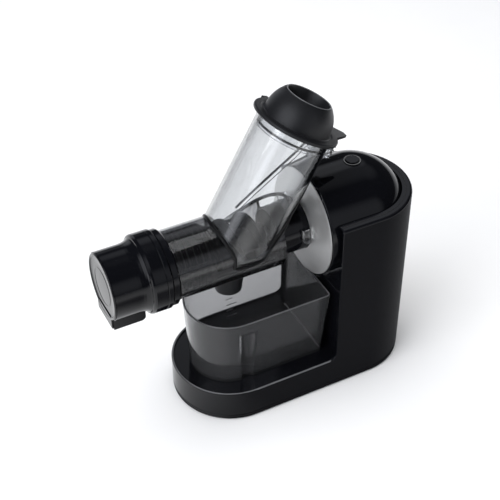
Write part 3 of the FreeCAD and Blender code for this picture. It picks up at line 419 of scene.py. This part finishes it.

# %% [markdown]
# The light ring round the button and the marks in the jug are pale: milky
# plastic for the one, pad print for the other. Print is never quite even, so a
# fine noise thins it. The same pale finish also paints a highlight: the bright
# line in the jug's inner corner.

# %% Pale print, light ring and a painted highlight
# Pale print and light ring, and also a painted highlight in the jug's corner.
finish["lamp_white"], tree, shader = new_finish("lamp_white", (0.16, 0.16, 0.16), 0.4)
thin = add_noise(tree, 1800.0, 2.0)
tree.links.new(mix_colours(tree, thin, (0.12, 0.12, 0.12), (0.19, 0.19, 0.19)),
               shader.inputs["Base Color"])
print("finish: lamp_white")

# %% [markdown]
# The drum and the feed tube are clear, a little grey. Where the wall is seen
# edge on, light travels a long way inside it, and it darkens. A tint per
# surface cannot know that path. So the tint gets darker towards grazing angles,
# which draws the dark outlines that clear plastic has. The roughness varies a
# little with handling, and the mould leaves a faint ripple. The drum is tinted
# darker than the rest.

# %% Clear plastic
EDGE_FROM = 0.36
EDGE_TO = 0.97


def edge_tint(tree, facing, grazing):
    """A tint that goes from one colour face on to a darker one at grazing angles."""
    angle = tree.nodes.new("ShaderNodeLayerWeight")
    angle.inputs["Blend"].default_value = 0.5
    edge = smooth_span(tree, angle.outputs["Facing"], EDGE_FROM, EDGE_TO, 0.0, 1.0)
    return mix_colours(tree, edge, facing, grazing)


for name, facing, grazing in (("clear", (0.82, 0.83, 0.838), (0.07, 0.072, 0.075)),
                              ("dark_clear", (0.44, 0.444, 0.452), (0.08, 0.081, 0.085))):
    finish[name], tree, shader = new_finish(name, facing, 0.02, Transmission_Weight=1.0, IOR=1.49,
                                            Coat_Weight=0.3)
    wear = place_group(tree, marks, Clean=0.01, Smudged=0.04, Specks=0.06)
    tree.links.new(wear.outputs["Roughness"], shader.inputs["Roughness"])
    tree.links.new(edge_tint(tree, facing, grazing), shader.inputs["Base Color"])
    ripple = place_group(tree, grain, Scale=30.0, Depth=1.0)
    add_bump(tree, shader, ripple.outputs["Height"], 0.0001, 0.4)
    print("finish:", name)

# %% [markdown]
# The jug is smokier, and the smoke in it scatters a little light. That is why
# its walls read as an even grey against the black behind. A small share of the
# shader is plain grey plastic instead of clear, which does the same.

# %% Smoky clear plastic of the jug
SMOKE = (0.36, 0.364, 0.374)
finish["smoky_clear"], tree, shader = new_finish("smoky_clear", SMOKE, 0.03,
                                                 Transmission_Weight=0.93, IOR=1.36)
wear = place_group(tree, marks, Clean=0.014, Smudged=0.06, Specks=0.06)
tree.links.new(wear.outputs["Roughness"], shader.inputs["Roughness"])
tree.links.new(mix_colours(tree, wear.outputs["Dust"], SMOKE, (0.6, 0.6, 0.6)),
               shader.inputs["Base Color"])
ripple = place_group(tree, grain, Scale=34.0, Depth=1.0)
add_bump(tree, shader, ripple.outputs["Height"], 0.0001, 0.4)
print("finish: smoky_clear")

# %% [markdown]
# The filter's sheet is steel, coloured far darker than bare steel: painted
# shade for the drum around it. The holes come from the group, as still darker,
# rougher dots with a step down at their edge.

# %% Pierced steel of the filter
finish["mesh_steel"], tree, shader = new_finish("mesh_steel", (0.3, 0.3, 0.3), 0.35, Metallic=0.9)
pierced = place_group(tree, holes, Pitch=0.0022, Hole=0.32, Radius=0.034)
# Very dark steel: painted shade from the drum around the filter.
tree.links.new(mix_colours(tree, pierced.outputs["Hole"], (0.02, 0.02, 0.022), (0.003, 0.003, 0.0033)),
               shader.inputs["Base Color"])
tree.links.new(add_math(tree, "MULTIPLY_ADD", pierced.outputs["Hole"], 0.4, 0.34),
               shader.inputs["Roughness"])
add_bump(tree, shader, add_math(tree, "SUBTRACT", 1.0, pierced.outputs["Hole"]), 0.0002, 0.8)
print("finish: mesh_steel")

# %% [markdown]
# ## Finishes on the measured solids
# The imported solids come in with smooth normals, so each only needs its finish
# in its material slots. The list says which finish each piece has.

# %% Give every solid its finish
worn_by = {
    "gloss_black": ["outer_wrap", "deck_tray", "front_panel", "core_dome", "button_bezel", "power_button",
                    "drum_neck", "drum_collar", "pulp_cap", "end_cover"],
    "satin_black": ["base_plate", "neck_socket", "button_guide", "gear_case", "motor_fan",
                    "safety_switch", "juice_spout", "drum_latch", "pusher_cap"],
    "inner_black": ["front_spider", "filter_frame", "auger"],
    "dark_rubber": ["rubber_foot", "mains_inlet", "rear_bush", "pusher_seal"],
    "steel": ["steel_ring"],
    "shaft_steel": ["base_screw", "shaft_bearing", "motor_bearing", "motor_pinion", "reduction_pinion",
                    "drive_shaft", "auger_shaft"],
    "can_metal": ["motor_mount", "motor_can"],
    "motor_iron": ["stator", "rotor"],
    "gear_plastic": ["reduction_gear", "output_gear"],
    "board_green": ["control_board"],
    "lamp_white": ["button_light", "jug_mark"],
    "clear": ["pusher_plug", "feed_tube", "tube_keyway", "bayonet_lug"],
    "dark_clear": ["drum"],
    "mesh_steel": ["filter_mesh"],
    "smoky_clear": ["jug"],
}
for name, members in worn_by.items():
    for member in members:
        nodes[member].data.materials.clear()
        nodes[member].data.materials.append(finish[name])
print("solids with a finish:", sum(len(members) for members in worn_by.values()))

# %% [markdown]
# ## Helpers for new pieces
# Some pieces show more than their measured solid has: stepped rims, grooves,
# beads and seams. These are modelled here and stand where the solid stands.
# Most are turned about the screw's axis, so a profile of distances along it
# and from it is spun. Every new piece ends the same way: doubled points are
# merged, faces turned outwards, flats kept crisp, and edges rounded a little,
# because an edge without a highlight is what makes a model look like one.

# %% Finishing a new piece
mm = 0.001
CREASE = math.radians(32)


def new_piece(name, bm, finish_name, body, rounding=0.0, instead_of=()):
    """Turns a bmesh into a piece that rides on a body."""
    bmesh.ops.remove_doubles(bm, verts=bm.verts, dist=1e-6)
    bmesh.ops.recalc_face_normals(bm, faces=bm.faces)
    mesh = bpy.data.meshes.new(name)
    bm.to_mesh(mesh)
    bm.free()
    mesh.polygons.foreach_set("use_smooth", [True] * len(mesh.polygons))
    mesh.set_sharp_from_angle(angle=CREASE)
    piece = bpy.data.objects.new(name, mesh)
    bpy.context.scene.collection.objects.link(piece)
    mesh.materials.append(finish[finish_name])
    if rounding:
        bevel = piece.modifiers.new("Rounded edges", "BEVEL")
        bevel.width = rounding * mm
        bevel.segments = 3
        bevel.limit_method = "ANGLE"
        bevel.angle_limit = CREASE
        bevel.harden_normals = True
    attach(piece, body)
    if instead_of:
        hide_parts(*instead_of)
    print(name, "faces:", len(mesh.polygons))


def spin_profile(bm, profile, steps=112, closed=True):
    """Spins (place, radius) pairs in millimetres about the screw's axis."""
    points = [bm.verts.new((x * mm, 0.0, AXIS_HEIGHT + r * mm)) for x, r in profile]
    edges = [bm.edges.new(pair) for pair in zip(points, points[1:])]
    if closed:
        edges.append(bm.edges.new((points[-1], points[0])))
    bmesh.ops.spin(bm, geom=points + edges, cent=(0.0, 0.0, AXIS_HEIGHT), axis=(1.0, 0.0, 0.0),
                   dvec=(0.0, 0.0, 0.0), angle=2.0 * math.pi, steps=steps, use_merge=True)


def add_box(bm, low, high):
    """A box between two corners in millimetres; returns its points."""
    size = [(b - a) * mm for a, b in zip(low, high)]
    middle = [(a + b) / 2.0 * mm for a, b in zip(low, high)]
    matrix = Matrix.Translation(middle) @ Matrix.Diagonal((*size, 1.0))
    return bmesh.ops.create_cube(bm, size=1.0, matrix=matrix)["verts"]


# %% [markdown]
# ## The pulp end
# The end cover closes the cap. On the real one it is a shallow dish with a
# rounded rim and one fine ring line. A disc would do for its outline, but the
# rim is what catches the light. So its profile is spun, and the flat that
# closes the chute below is a box joined to it. The place in the middle that
# could carry a mark is left bare.

# %% End cover
bm = bmesh.new()
spin_profile(bm, [(-231.0, 0.0), (-231.0, 38.5), (-232.0, 38.5), (-232.9, 37.9), (-233.2, 36.9),
                  (-233.0, 35.6), (-232.0, 34.7), (-231.7, 33.6), (-231.9, 23.0), (-232.3, 22.6),
                  (-232.3, 21.8), (-231.9, 21.4), (-232.1, 0.0)], closed=False)
add_box(bm, (-232.8, -20.4, 168.6), (-231.0, 20.4, 184.0))
new_piece("cover_dish", bm, "gloss_black", "cap", 0.35, ["end_cover"])

# %% [markdown]
# Behind the cap the collar is stepped: a wide ring, a narrow groove and a lower
# ring with a small sunk mark that shows where the cap locks. The two rings and
# the groove are one spun profile. The mark is sunk by insetting the few faces
# at its place and moving them in.

# %% Stepped collar
bm = bmesh.new()
spin_profile(bm, [(-173.0, 40.3), (-173.0, 45.4), (-172.4, 46.0), (-167.2, 46.0), (-166.4, 45.2),
                  (-166.4, 42.4), (-165.4, 42.4), (-165.4, 44.2), (-159.0, 44.2), (-157.0, 42.6),
                  (-157.0, 40.3)])


def on_mark(face):
    """Whether a face lies where the mark is sunk, on the near side of the lower ring."""
    spot = face.calc_center_median()
    around = math.degrees(math.atan2(spot.z - AXIS_HEIGHT, -spot.y))
    outside = math.hypot(spot.y, spot.z - AXIS_HEIGHT) > 0.0435
    return spot.y < 0.0 and outside and -33.0 < around < -24.0 and -0.1654 < spot.x < -0.159


mark_faces = [face for face in bm.faces if on_mark(face)]
bmesh.ops.inset_region(bm, faces=mark_faces, thickness=1.0 * mm, depth=0.0, use_even_offset=True)
bmesh.ops.inset_region(bm, faces=mark_faces, thickness=0.2 * mm, depth=-1.4 * mm, use_even_offset=True)
new_piece("stepped_collar", bm, "gloss_black", "drum_body", 0.3, ["drum_collar"])

# %% [markdown]
# ## The pusher
# The pusher closes the feed tube: a flat flange with a grip tab towards the
# tower and a small lug opposite, a rounded dome with a groove at its foot, and
# a dished top with a rolled rim. It is modelled upright and then leaned with
# the tube.

# %% Leaning with the tube
TUBE_LEAN = math.radians(29.3)
TUBE_FOOT = -74.1
tube_frame = Matrix.Translation((TUBE_FOOT * mm, 0.0, AXIS_HEIGHT)) @ Matrix.Rotation(TUBE_LEAN, 4, "Y")


def spin_upright(bm, profile):
    """Spins (radius, height) pairs in millimetres about the Z axis."""
    points = [bm.verts.new((r * mm, 0.0, z * mm)) for r, z in profile]
    edges = [bm.edges.new(pair) for pair in zip(points, points[1:])]
    bmesh.ops.spin(bm, geom=points + edges, cent=(0.0, 0.0, 0.0), axis=(0.0, 0.0, 1.0),
                   dvec=(0.0, 0.0, 0.0), angle=2.0 * math.pi, steps=96, use_merge=True)


# %% Pusher cap
bm = bmesh.new()
spin_upright(bm, [(0.0, 160.0), (38.2, 160.0), (38.4, 158.3), (49.6, 158.3), (50.5, 159.2), (50.5, 161.6),
                  (49.4, 162.7), (42.9, 162.8), (42.1, 161.9), (40.6, 161.9), (39.7, 163.0),
                  (39.4, 165.5), (38.9, 169.0), (37.8, 174.5), (35.9, 180.0), (33.3, 185.0),
                  (30.4, 189.0), (28.4, 191.3), (27.3, 192.3), (26.2, 192.8), (25.4, 192.5),
                  (25.0, 191.4), (24.2, 186.0), (23.0, 180.6), (20.6, 178.2), (16.0, 177.4), (0.0, 177.0)])
tab = add_box(bm, (40.0, -23.0, 158.3), (72.4, 23.0, 162.7))
for tip in (point for point in tab if point.co.x > 60.0 * mm):
    tip.co.y *= 0.16
    if tip.co.z > 160.0 * mm:
        tip.co.z -= 1.0 * mm
lug = add_box(bm, (46.0, -4.5, 158.6), (54.6, 4.5, 162.2))
bmesh.ops.rotate(bm, verts=lug, cent=(0.0, 0.0, 0.0), matrix=Matrix.Rotation(math.radians(104.0), 3, "Z"))
bmesh.ops.transform(bm, matrix=tube_frame, verts=bm.verts)
new_piece("pusher_dome", bm, "satin_black", "pusher", 0.4, ["pusher_cap"])

# %% [markdown]
# The rolled rim of the dish shows as one fine bright line. It is a thin ring of
# its own on top of the dome, and its lighter grey edge finish is a painted
# highlight for that line.

# %% Rim with a painted highlight
bm = bmesh.new()
RIM_RADIUS, RIM_HEIGHT, RIM_ROUND = 26.1, 192.5, 0.65
spin_upright(bm, [(RIM_RADIUS + RIM_ROUND * math.cos(math.radians(a)),
                   RIM_HEIGHT + RIM_ROUND * math.sin(math.radians(a))) for a in range(0, 361, 45)])
bmesh.ops.transform(bm, matrix=tube_frame, verts=bm.verts)
# The rim's lighter grey is a painted highlight.
new_piece("pusher_rim", bm, "edge_painted_highlight", "pusher")

# %% [markdown]
# ## The seam of the tube
# The tube is set on the drum with a dark sealing bead. It runs where the two
# walls cross, down to the height of the axis at the sides. It is a curve with
# a round section, and its points are the crossing worked out at equal turns
# round the tube, so it stays right if either radius changes.

# %% Sealing bead
TUBE_R = 43.2
DRUM_R = 40.3


def seam_point(turn):
    """Where the tube's wall at this angle meets the drum, in metres."""
    y = TUBE_R * math.sin(turn)
    outward = TUBE_R * math.cos(turn)
    height = math.sqrt(max(DRUM_R * DRUM_R - y * y, 0.0))
    along = (height + outward * math.sin(TUBE_LEAN)) / math.cos(TUBE_LEAN)
    x = TUBE_FOOT + along * math.sin(TUBE_LEAN) + outward * math.cos(TUBE_LEAN)
    return Vector((x * mm, y * mm, AXIS_HEIGHT + height * mm))


def bead(name, points, radius, finish_name, body, closed=False):
    """A round bead along points given in metres, made a mesh at the origin."""
    curve = bpy.data.curves.new(name, "CURVE")
    curve.dimensions = "3D"
    curve.bevel_depth = radius * mm
    curve.bevel_resolution = 3
    curve.use_fill_caps = True
    spline = curve.splines.new("NURBS")
    spline.points.add(len(points) - 1)
    for target, point in zip(spline.points, points):
        target.co = (*point, 1.0)
    spline.order_u = 3
    spline.use_cyclic_u = closed
    spline.use_endpoint_u = not closed
    spline.resolution_u = 4
    shape = bpy.data.objects.new(name + "_line", curve)
    bpy.context.scene.collection.objects.link(shape)
    depsgraph = bpy.context.evaluated_depsgraph_get()
    mesh = bpy.data.meshes.new_from_object(shape.evaluated_get(depsgraph))
    bpy.data.objects.remove(shape)
    bm = bmesh.new()
    bm.from_mesh(mesh)
    new_piece(name, bm, finish_name, body)


turns = [math.radians(3.0 * i) for i in range(120)]
seam_line = [seam_point(turn) for turn in turns]
bead("tube_seal", seam_line, 2.1, "inner_black", "drum_body", closed=True)

# %% [markdown]
# From the lowest point of that seam a dark rib climbs the tube's wall on each
# side and leans back towards the tower, with a finer one beside it. The ribs
# stiffen the tube where the pusher's push bends it. They are beads on the
# tube's wall, at an angle that grows with the height.

# %% Tube ribs
RIB_START = 288.0
RIB_SWEEP = 54.0
RIB_FOOT = 26.0
RIB_LENGTH = 112.0


def on_tube(turn, along):
    """A point on the tube's wall: an angle in degrees and a place along it in millimetres."""
    turn = math.radians(turn)
    return tube_frame @ (Vector((TUBE_R * math.cos(turn), TUBE_R * math.sin(turn), along)) * mm)


for side, sign in (("near", 1.0), ("far", -1.0)):
    for kind, shift, radius in (("rib", 0.0, 1.5), ("line", 6.5, 0.5)):
        points = []
        for i in range(9):
            share = i / 8.0
            turn = sign * (RIB_START + shift + RIB_SWEEP * share)
            points.append(on_tube(turn, RIB_FOOT + RIB_LENGTH * share))
        bead(f"tube_{kind}_{side}", points, radius, "inner_black", "drum_body")

# %% [markdown]
# The channel for the pusher's key is stiffened outside by thin clear ribs, which
# break the light into small bright and dark pieces. Each rib is three small
# boxes, one on each side and one across, leaned with the tube.

# %% Channel ribs
bm = bmesh.new()
RIB_THICKNESS = 1.4
three_sides = (((44.0, -11.2), (59.2, -9.8)), ((44.0, 9.8), (59.2, 11.2)), ((57.8, -9.8), (59.2, 9.8)))
for along in (138.0, 142.5, 147.0, 151.5):
    for low, high in three_sides:
        add_box(bm, (*low, along), (*high, along + RIB_THICKNESS))
bmesh.ops.transform(bm, matrix=tube_frame, verts=bm.verts)
new_piece("keyway_ribs", bm, "clear", "drum_body", 0.2)

# %% [markdown]
# ## Edges of the base
# A thin wall that ends in a rounded lip throws one long bright line, and that
# line draws the base's outline in the picture. The lip follows the wall's top
# round the tray, turns up at the tower and climbs its front edges. Its lighter
# grey edge finish paints that bright line as a highlight.

# %% Rounded lip
BASE_HALF = 72.0
BASE_END = 80.0
PANEL_FRONT = 29.0
LIP = 1.3
LIP_TOP = 43.1


def half_circle(x, radius, height, start, step):
    """Points of a half circle round x, from an angle in degrees, in millimetres."""
    turns = [math.radians(start + step * i) for i in range(25)]
    return [Vector((x + radius * math.cos(turn), radius * math.sin(turn), height)) for turn in turns]


lip_half = BASE_HALF - LIP
lip_x = PANEL_FRONT + LIP
near_side = [(lip_x, 241.0), (lip_x, 150.0), (lip_x, 56.0), (lip_x, 50.0), (28.6, 43.3), (22.0, LIP_TOP),
             (16.0, LIP_TOP), (-40.0, LIP_TOP), (-78.0, LIP_TOP)]
lip_points = [Vector((x, -lip_half, z)) for x, z in near_side]
lip_points += half_circle(-BASE_END, lip_half, LIP_TOP, -90.0, -7.5)
lip_points += [Vector((x, lip_half, z)) for x, z in reversed(near_side)]
# The lip's lighter grey is a painted highlight.
bead("wall_lip", [p * mm for p in lip_points], LIP, "edge_painted_highlight", "base")

# %% [markdown]
# At the table the base ends in two fine ridges with dark grooves between them.
# A dark band lies over the plate's edge, and the two ridges stand out from it.
# The band has the shaded black of the drum's inside, so its darkness is partly
# painted shade in the grooves and partly the real shade of their recess.
# Each level is one ring. A circle with its right half moved right and its left
# half moved left is exactly the base's outline, and neighbouring rings are
# bridged.

# %% Grooves and ridges
RING_POINTS = 144


def base_rings(bm, profile):
    """Bridged rings round the base from (radius, height) pairs in millimetres."""
    rings = []
    for radius, height in profile:
        matrix = Matrix.Translation((0.0, 0.0, height * mm))
        ring = bmesh.ops.create_circle(bm, cap_ends=False, segments=RING_POINTS, radius=radius * mm,
                                       matrix=matrix)
        for point in ring["verts"]:
            if abs(point.co.x) > 1e-5:
                point.co.x += math.copysign(BASE_END * mm, point.co.x)
        rings.append(list({edge for point in ring["verts"] for edge in point.link_edges}))
    for lower, upper in zip(rings, rings[1:]):
        bmesh.ops.bridge_loops(bm, edges=lower + upper)


bm = bmesh.new()
base_rings(bm, [(70.4, 9.0), (71.4, 8.98), (71.4, 2.02), (70.4, 2.0)])
# The dark band is partly painted shade in the grooves.
new_piece("base_groove", bm, "inner_black", "base")
bm = bmesh.new()
for top, out in ((7.4, 71.95), (3.9, 71.85)):
    base_rings(bm, [(70.6, top), (out - 0.4, top - 0.05), (out, top - 0.45), (out, top - 1.4),
                    (out - 0.4, top - 1.85), (70.6, top - 1.9)])
new_piece("base_trim", bm, "gloss_black", "base", 0.15)

# %% [markdown]
# Round the dome the wall's inner edge leaves a fine gap on the ledge, dark with
# the shade inside it. A gap that thin reads as a line, so it is a thin dark bead
# on the ledge: painted shade, with the rubber finish for its colour.

# %% Painted shade of the gap round the ledge
LEDGE_HALF = 64.6
LEDGE_TOP = 243.95
ledge_x = (31.0, 45.0, 62.0, 78.0)
seam = [Vector((x, -LEDGE_HALF, LEDGE_TOP)) for x in ledge_x]
seam += half_circle(BASE_END, LEDGE_HALF, LEDGE_TOP, -90.0, 7.5)
seam += [Vector((x, LEDGE_HALF, LEDGE_TOP)) for x in reversed(ledge_x)]
# A matt dark bead: painted shade for the gap.
bead("ledge_gap_shade", [p * mm for p in seam], 0.45, "dark_rubber", "base")

# %% [markdown]
# ## The jug's rim
# The jug ends in a thin rolled rim. Its round edge gathers light from many
# sides, so it shows as a fine grey line against the tray and the tower. The
# bead's lighter grey edge finish paints that line as a highlight.
# One bead follows the rim: a half circle at the round end and two small
# corners at the tower.

# %% Rolled rim
JUG_END = -82.5
JUG_HALF = 51.9
JUG_RIGHT = 28.2
JUG_TOP = 134.6
rim_x = (-50.0, -20.0, 5.0, 20.0, 24.5)
rim = half_circle(JUG_END, JUG_HALF, JUG_TOP, 90.0, 7.5)
rim += [Vector((x, -JUG_HALF, JUG_TOP)) for x in rim_x]
for y in (-JUG_HALF + 1.2, -JUG_HALF + 4.0, -30.0, 0.0, 30.0, JUG_HALF - 4.0, JUG_HALF - 1.2):
    rim.append(Vector((JUG_RIGHT - (1.2 if abs(y) > 50.0 else 0.0), y, JUG_TOP)))
rim += [Vector((x, JUG_HALF, JUG_TOP)) for x in reversed(rim_x)]
# The rim's lighter grey is a painted highlight.
bead("jug_rim", [p * mm for p in rim], 0.85, "edge_painted_highlight", "jug_body", True)

# %% [markdown]
# Inside, the floor meets the wall at the tower in a rounded corner. A corner
# like that in clear plastic gathers light into one bright line. Here that line
# is painted as a highlight: a thin pale bead lying in the corner.

# %% Painted highlight in the corner
CORNER_X = 20.2
CORNER_HEIGHT = 45.9
corner = [Vector((CORNER_X, y, CORNER_HEIGHT)) for y in (-44.0, -42.0, -20.0, 0.0, 20.0, 42.0, 44.0)]
# The pale bead is a painted highlight.
bead("jug_corner", [p * mm for p in corner], 0.8, "lamp_white", "jug_body")

# %% [markdown]
# ## Hoops of the filter
# Narrow hoops stiffen the filter between its end rings. They show through the
# drum as fine dark bands. Each is a small closed profile, spun.

# %% Filter hoops
bm = bmesh.new()
for place in (-147.0, -141.0, -133.0, -125.0, -118.0):
    spin_profile(bm, [(place, 36.2), (place + 0.2, 37.2), (place + 1.4, 37.2), (place + 1.6, 36.2)], 96)
new_piece("filter_hoops", bm, "satin_black", "drum_body")

# %% [markdown]
# ## Studio
# Gloss black shows nothing but its surroundings, so the studio is most of its
# look. The floor is pale, but darker where the tower and the base mirror it.
# The room over it is dim, so upward faces stay black, and it holds a few glows
# with soft borders, as large cloth-covered lamps give.
# Real area lamps would show as hard white shapes in such a gloss, so they only
# light the floor and the rougher finishes, and the glows do the highlights.

# %% Floor
def studio_floor():
    """A wide pale floor under the feet."""
    mesh = bpy.data.meshes.new("studio_floor")
    bm = bmesh.new()
    bmesh.ops.create_grid(bm, x_segments=1, y_segments=1, size=12.0)
    bm.to_mesh(mesh)
    bm.free()
    floor = bpy.data.objects.new("studio_floor", mesh)
    bpy.context.scene.collection.objects.link(floor)
    paper, tree, shader = new_finish("studio_paper", (0.9, 0.9, 0.9), 0.9)
    fibres = add_noise(tree, 9.0, 2.0)
    pale = mix_colours(tree, fibres, (0.88, 0.88, 0.88), (0.91, 0.91, 0.91))
    place = object_place(tree)
    split = split_vector(tree, place)
    side = add_math(tree, "SUBTRACT", add_math(tree, "MULTIPLY", split["Y"], 0.3), split["X"])
    shade = smooth_span(tree, side, 0.02, 0.19, 0.87, 0.0)
    away = tree.nodes.new("ShaderNodeVectorMath")
    away.operation = "DISTANCE"
    away.inputs[1].default_value = (0.15, -0.05, 0.0)
    tree.links.new(place, away.inputs[0])
    near = smooth_span(tree, away.outputs["Value"], 0.4, 0.68, 1.0, 0.0)
    path = tree.nodes.new("ShaderNodeLightPath")
    mirrored = add_math(tree, "SUBTRACT", path.outputs["Is Glossy Ray"], path.outputs["Is Transmission Ray"])
    mirrored = add_math(tree, "MAXIMUM", mirrored, 0.0)
    shade = add_math(tree, "MULTIPLY", shade, mirrored)
    shade = add_math(tree, "MULTIPLY", shade, near)
    mix = tree.nodes.new("ShaderNodeMix")
    mix.data_type = "RGBA"
    tree.links.new(shade, mix.inputs[0])
    tree.links.new(pale, mix.inputs[6])
    mix.inputs[7].default_value = (0.05, 0.05, 0.055, 1.0)
    tree.links.new(mix.outputs[2], shader.inputs["Base Color"])
    mesh.materials.append(paper)
    return floor


studio_floor()
print("floor laid")

# %% Room light
room = bpy.data.worlds.new("studio_room")
room.use_nodes = True
tree = room.node_tree
background = tree.nodes["Background"]
heading = tree.nodes.new("ShaderNodeTexCoord").outputs["Generated"]


def glow(direction, core, border, strength):
    """A round glow in the room: full inside core degrees, gone at border degrees."""
    dot = tree.nodes.new("ShaderNodeVectorMath")
    dot.operation = "DOT_PRODUCT"
    dot.inputs[1].default_value = Vector(direction).normalized()
    tree.links.new(heading, dot.inputs[0])
    low, high = math.cos(math.radians(border)), math.cos(math.radians(core))
    return smooth_span(tree, dot.outputs["Value"], low, high, 0.0, strength)


def greys(value):
    """A grey colour from a value."""
    join = tree.nodes.new("ShaderNodeCombineColor")
    for socket, share in zip(join.inputs[:3], (0.95, 0.98, 1.06)):
        tree.links.new(add_math(tree, "MULTIPLY", value, share), socket)
    return join.outputs[0]


ROOM_LEVEL = 0.035
BACKGROUND_LEVEL = 0.93
glows = [((-0.75, -0.25, 0.6), 8.0, 42.0, 1.6), ((0.55, 0.25, 0.8), 2.0, 26.0, 0.22),
         ((0.38, -0.87, 0.3), 4.0, 27.0, 0.4), ((-0.9, -0.42, 0.04), 3.0, 15.0, 1.3),
         ((-0.05, 0.98, 0.15), 4.0, 20.0, 0.6), ((0.42, 0.66, 0.62), 4.0, 20.0, 0.5)]
light = ROOM_LEVEL
for direction, core, border, strength in glows:
    light = add_math(tree, "ADD", glow(direction, core, border, strength), light)
rise = smooth_span(tree, split_vector(tree, heading)["Z"], 0.1, 0.45, 0.9, 0.15)
path = tree.nodes.new("ShaderNodeLightPath")
through = add_math(tree, "MULTIPLY", rise, path.outputs["Is Transmission Ray"])
light = add_math(tree, "MAXIMUM", light, through)
behind = add_math(tree, "MULTIPLY", path.outputs["Is Camera Ray"], BACKGROUND_LEVEL)
light = add_math(tree, "MAXIMUM", light, behind)
tree.links.new(greys(light), background.inputs["Color"])
bpy.context.scene.world = room
print("room lit")

# %% Soft boxes
AIM = Vector((-0.03, 0.0, 0.2))


def soft_box(name, place, width, height, watts):
    """A rectangular area light that faces the juicer, and isn't mirrored in it."""
    light = bpy.data.lights.new(name, "AREA")
    light.shape = "RECTANGLE"
    light.size = width
    light.size_y = height
    light.energy = watts
    lamp = bpy.data.objects.new(name, light)
    place = Vector(place)
    facing = (AIM - place).to_track_quat("-Z", "Y").to_matrix().to_4x4()
    lamp.matrix_world = Matrix.Translation(place) @ facing
    lamp.visible_glossy = False
    bpy.context.scene.collection.objects.link(lamp)
    return lamp


soft_box("box_over", (-0.3, 0.2, 2.6), 2.6, 2.6, 78.0)
soft_box("box_left", (-1.9, -0.6, 1.4), 1.4, 1.4, 20.0)
print("soft boxes: 2")

# %% [markdown]
# ## Camera
# The photograph looks down on the juicer from the front left. Its place and
# lens were solved from the outline of the base, the round front and the tube,
# so the drawing falls on the picture without any shift.

# %% Camera
lens = bpy.data.cameras.new("photo_view")
SENSOR_WIDTH = 36.0
FOCAL_PIXELS = 1119.957
PICTURE_PIXELS = 500.0
lens.sensor_width = SENSOR_WIDTH
lens.lens = FOCAL_PIXELS / PICTURE_PIXELS * SENSOR_WIDTH
lens.clip_start = 0.01
camera = bpy.data.objects.new("photo_view", lens)
bpy.context.scene.collection.objects.link(camera)
CAMERA_PLACE = (-0.50128, -0.87824, 1.02736)
ROLL = -0.004
forward = Vector((0.348400, 0.680812, -0.644280)).normalized()
turn = forward.to_track_quat("-Z", "Y").to_matrix().to_4x4()
camera.matrix_world = Matrix.Translation(CAMERA_PLACE) @ turn @ Matrix.Rotation(ROLL, 4, "Z")
bpy.context.scene.camera = camera
bpy.context.scene.view_settings.view_transform = "Standard"
print("camera lens:", round(lens.lens, 2), "mm")
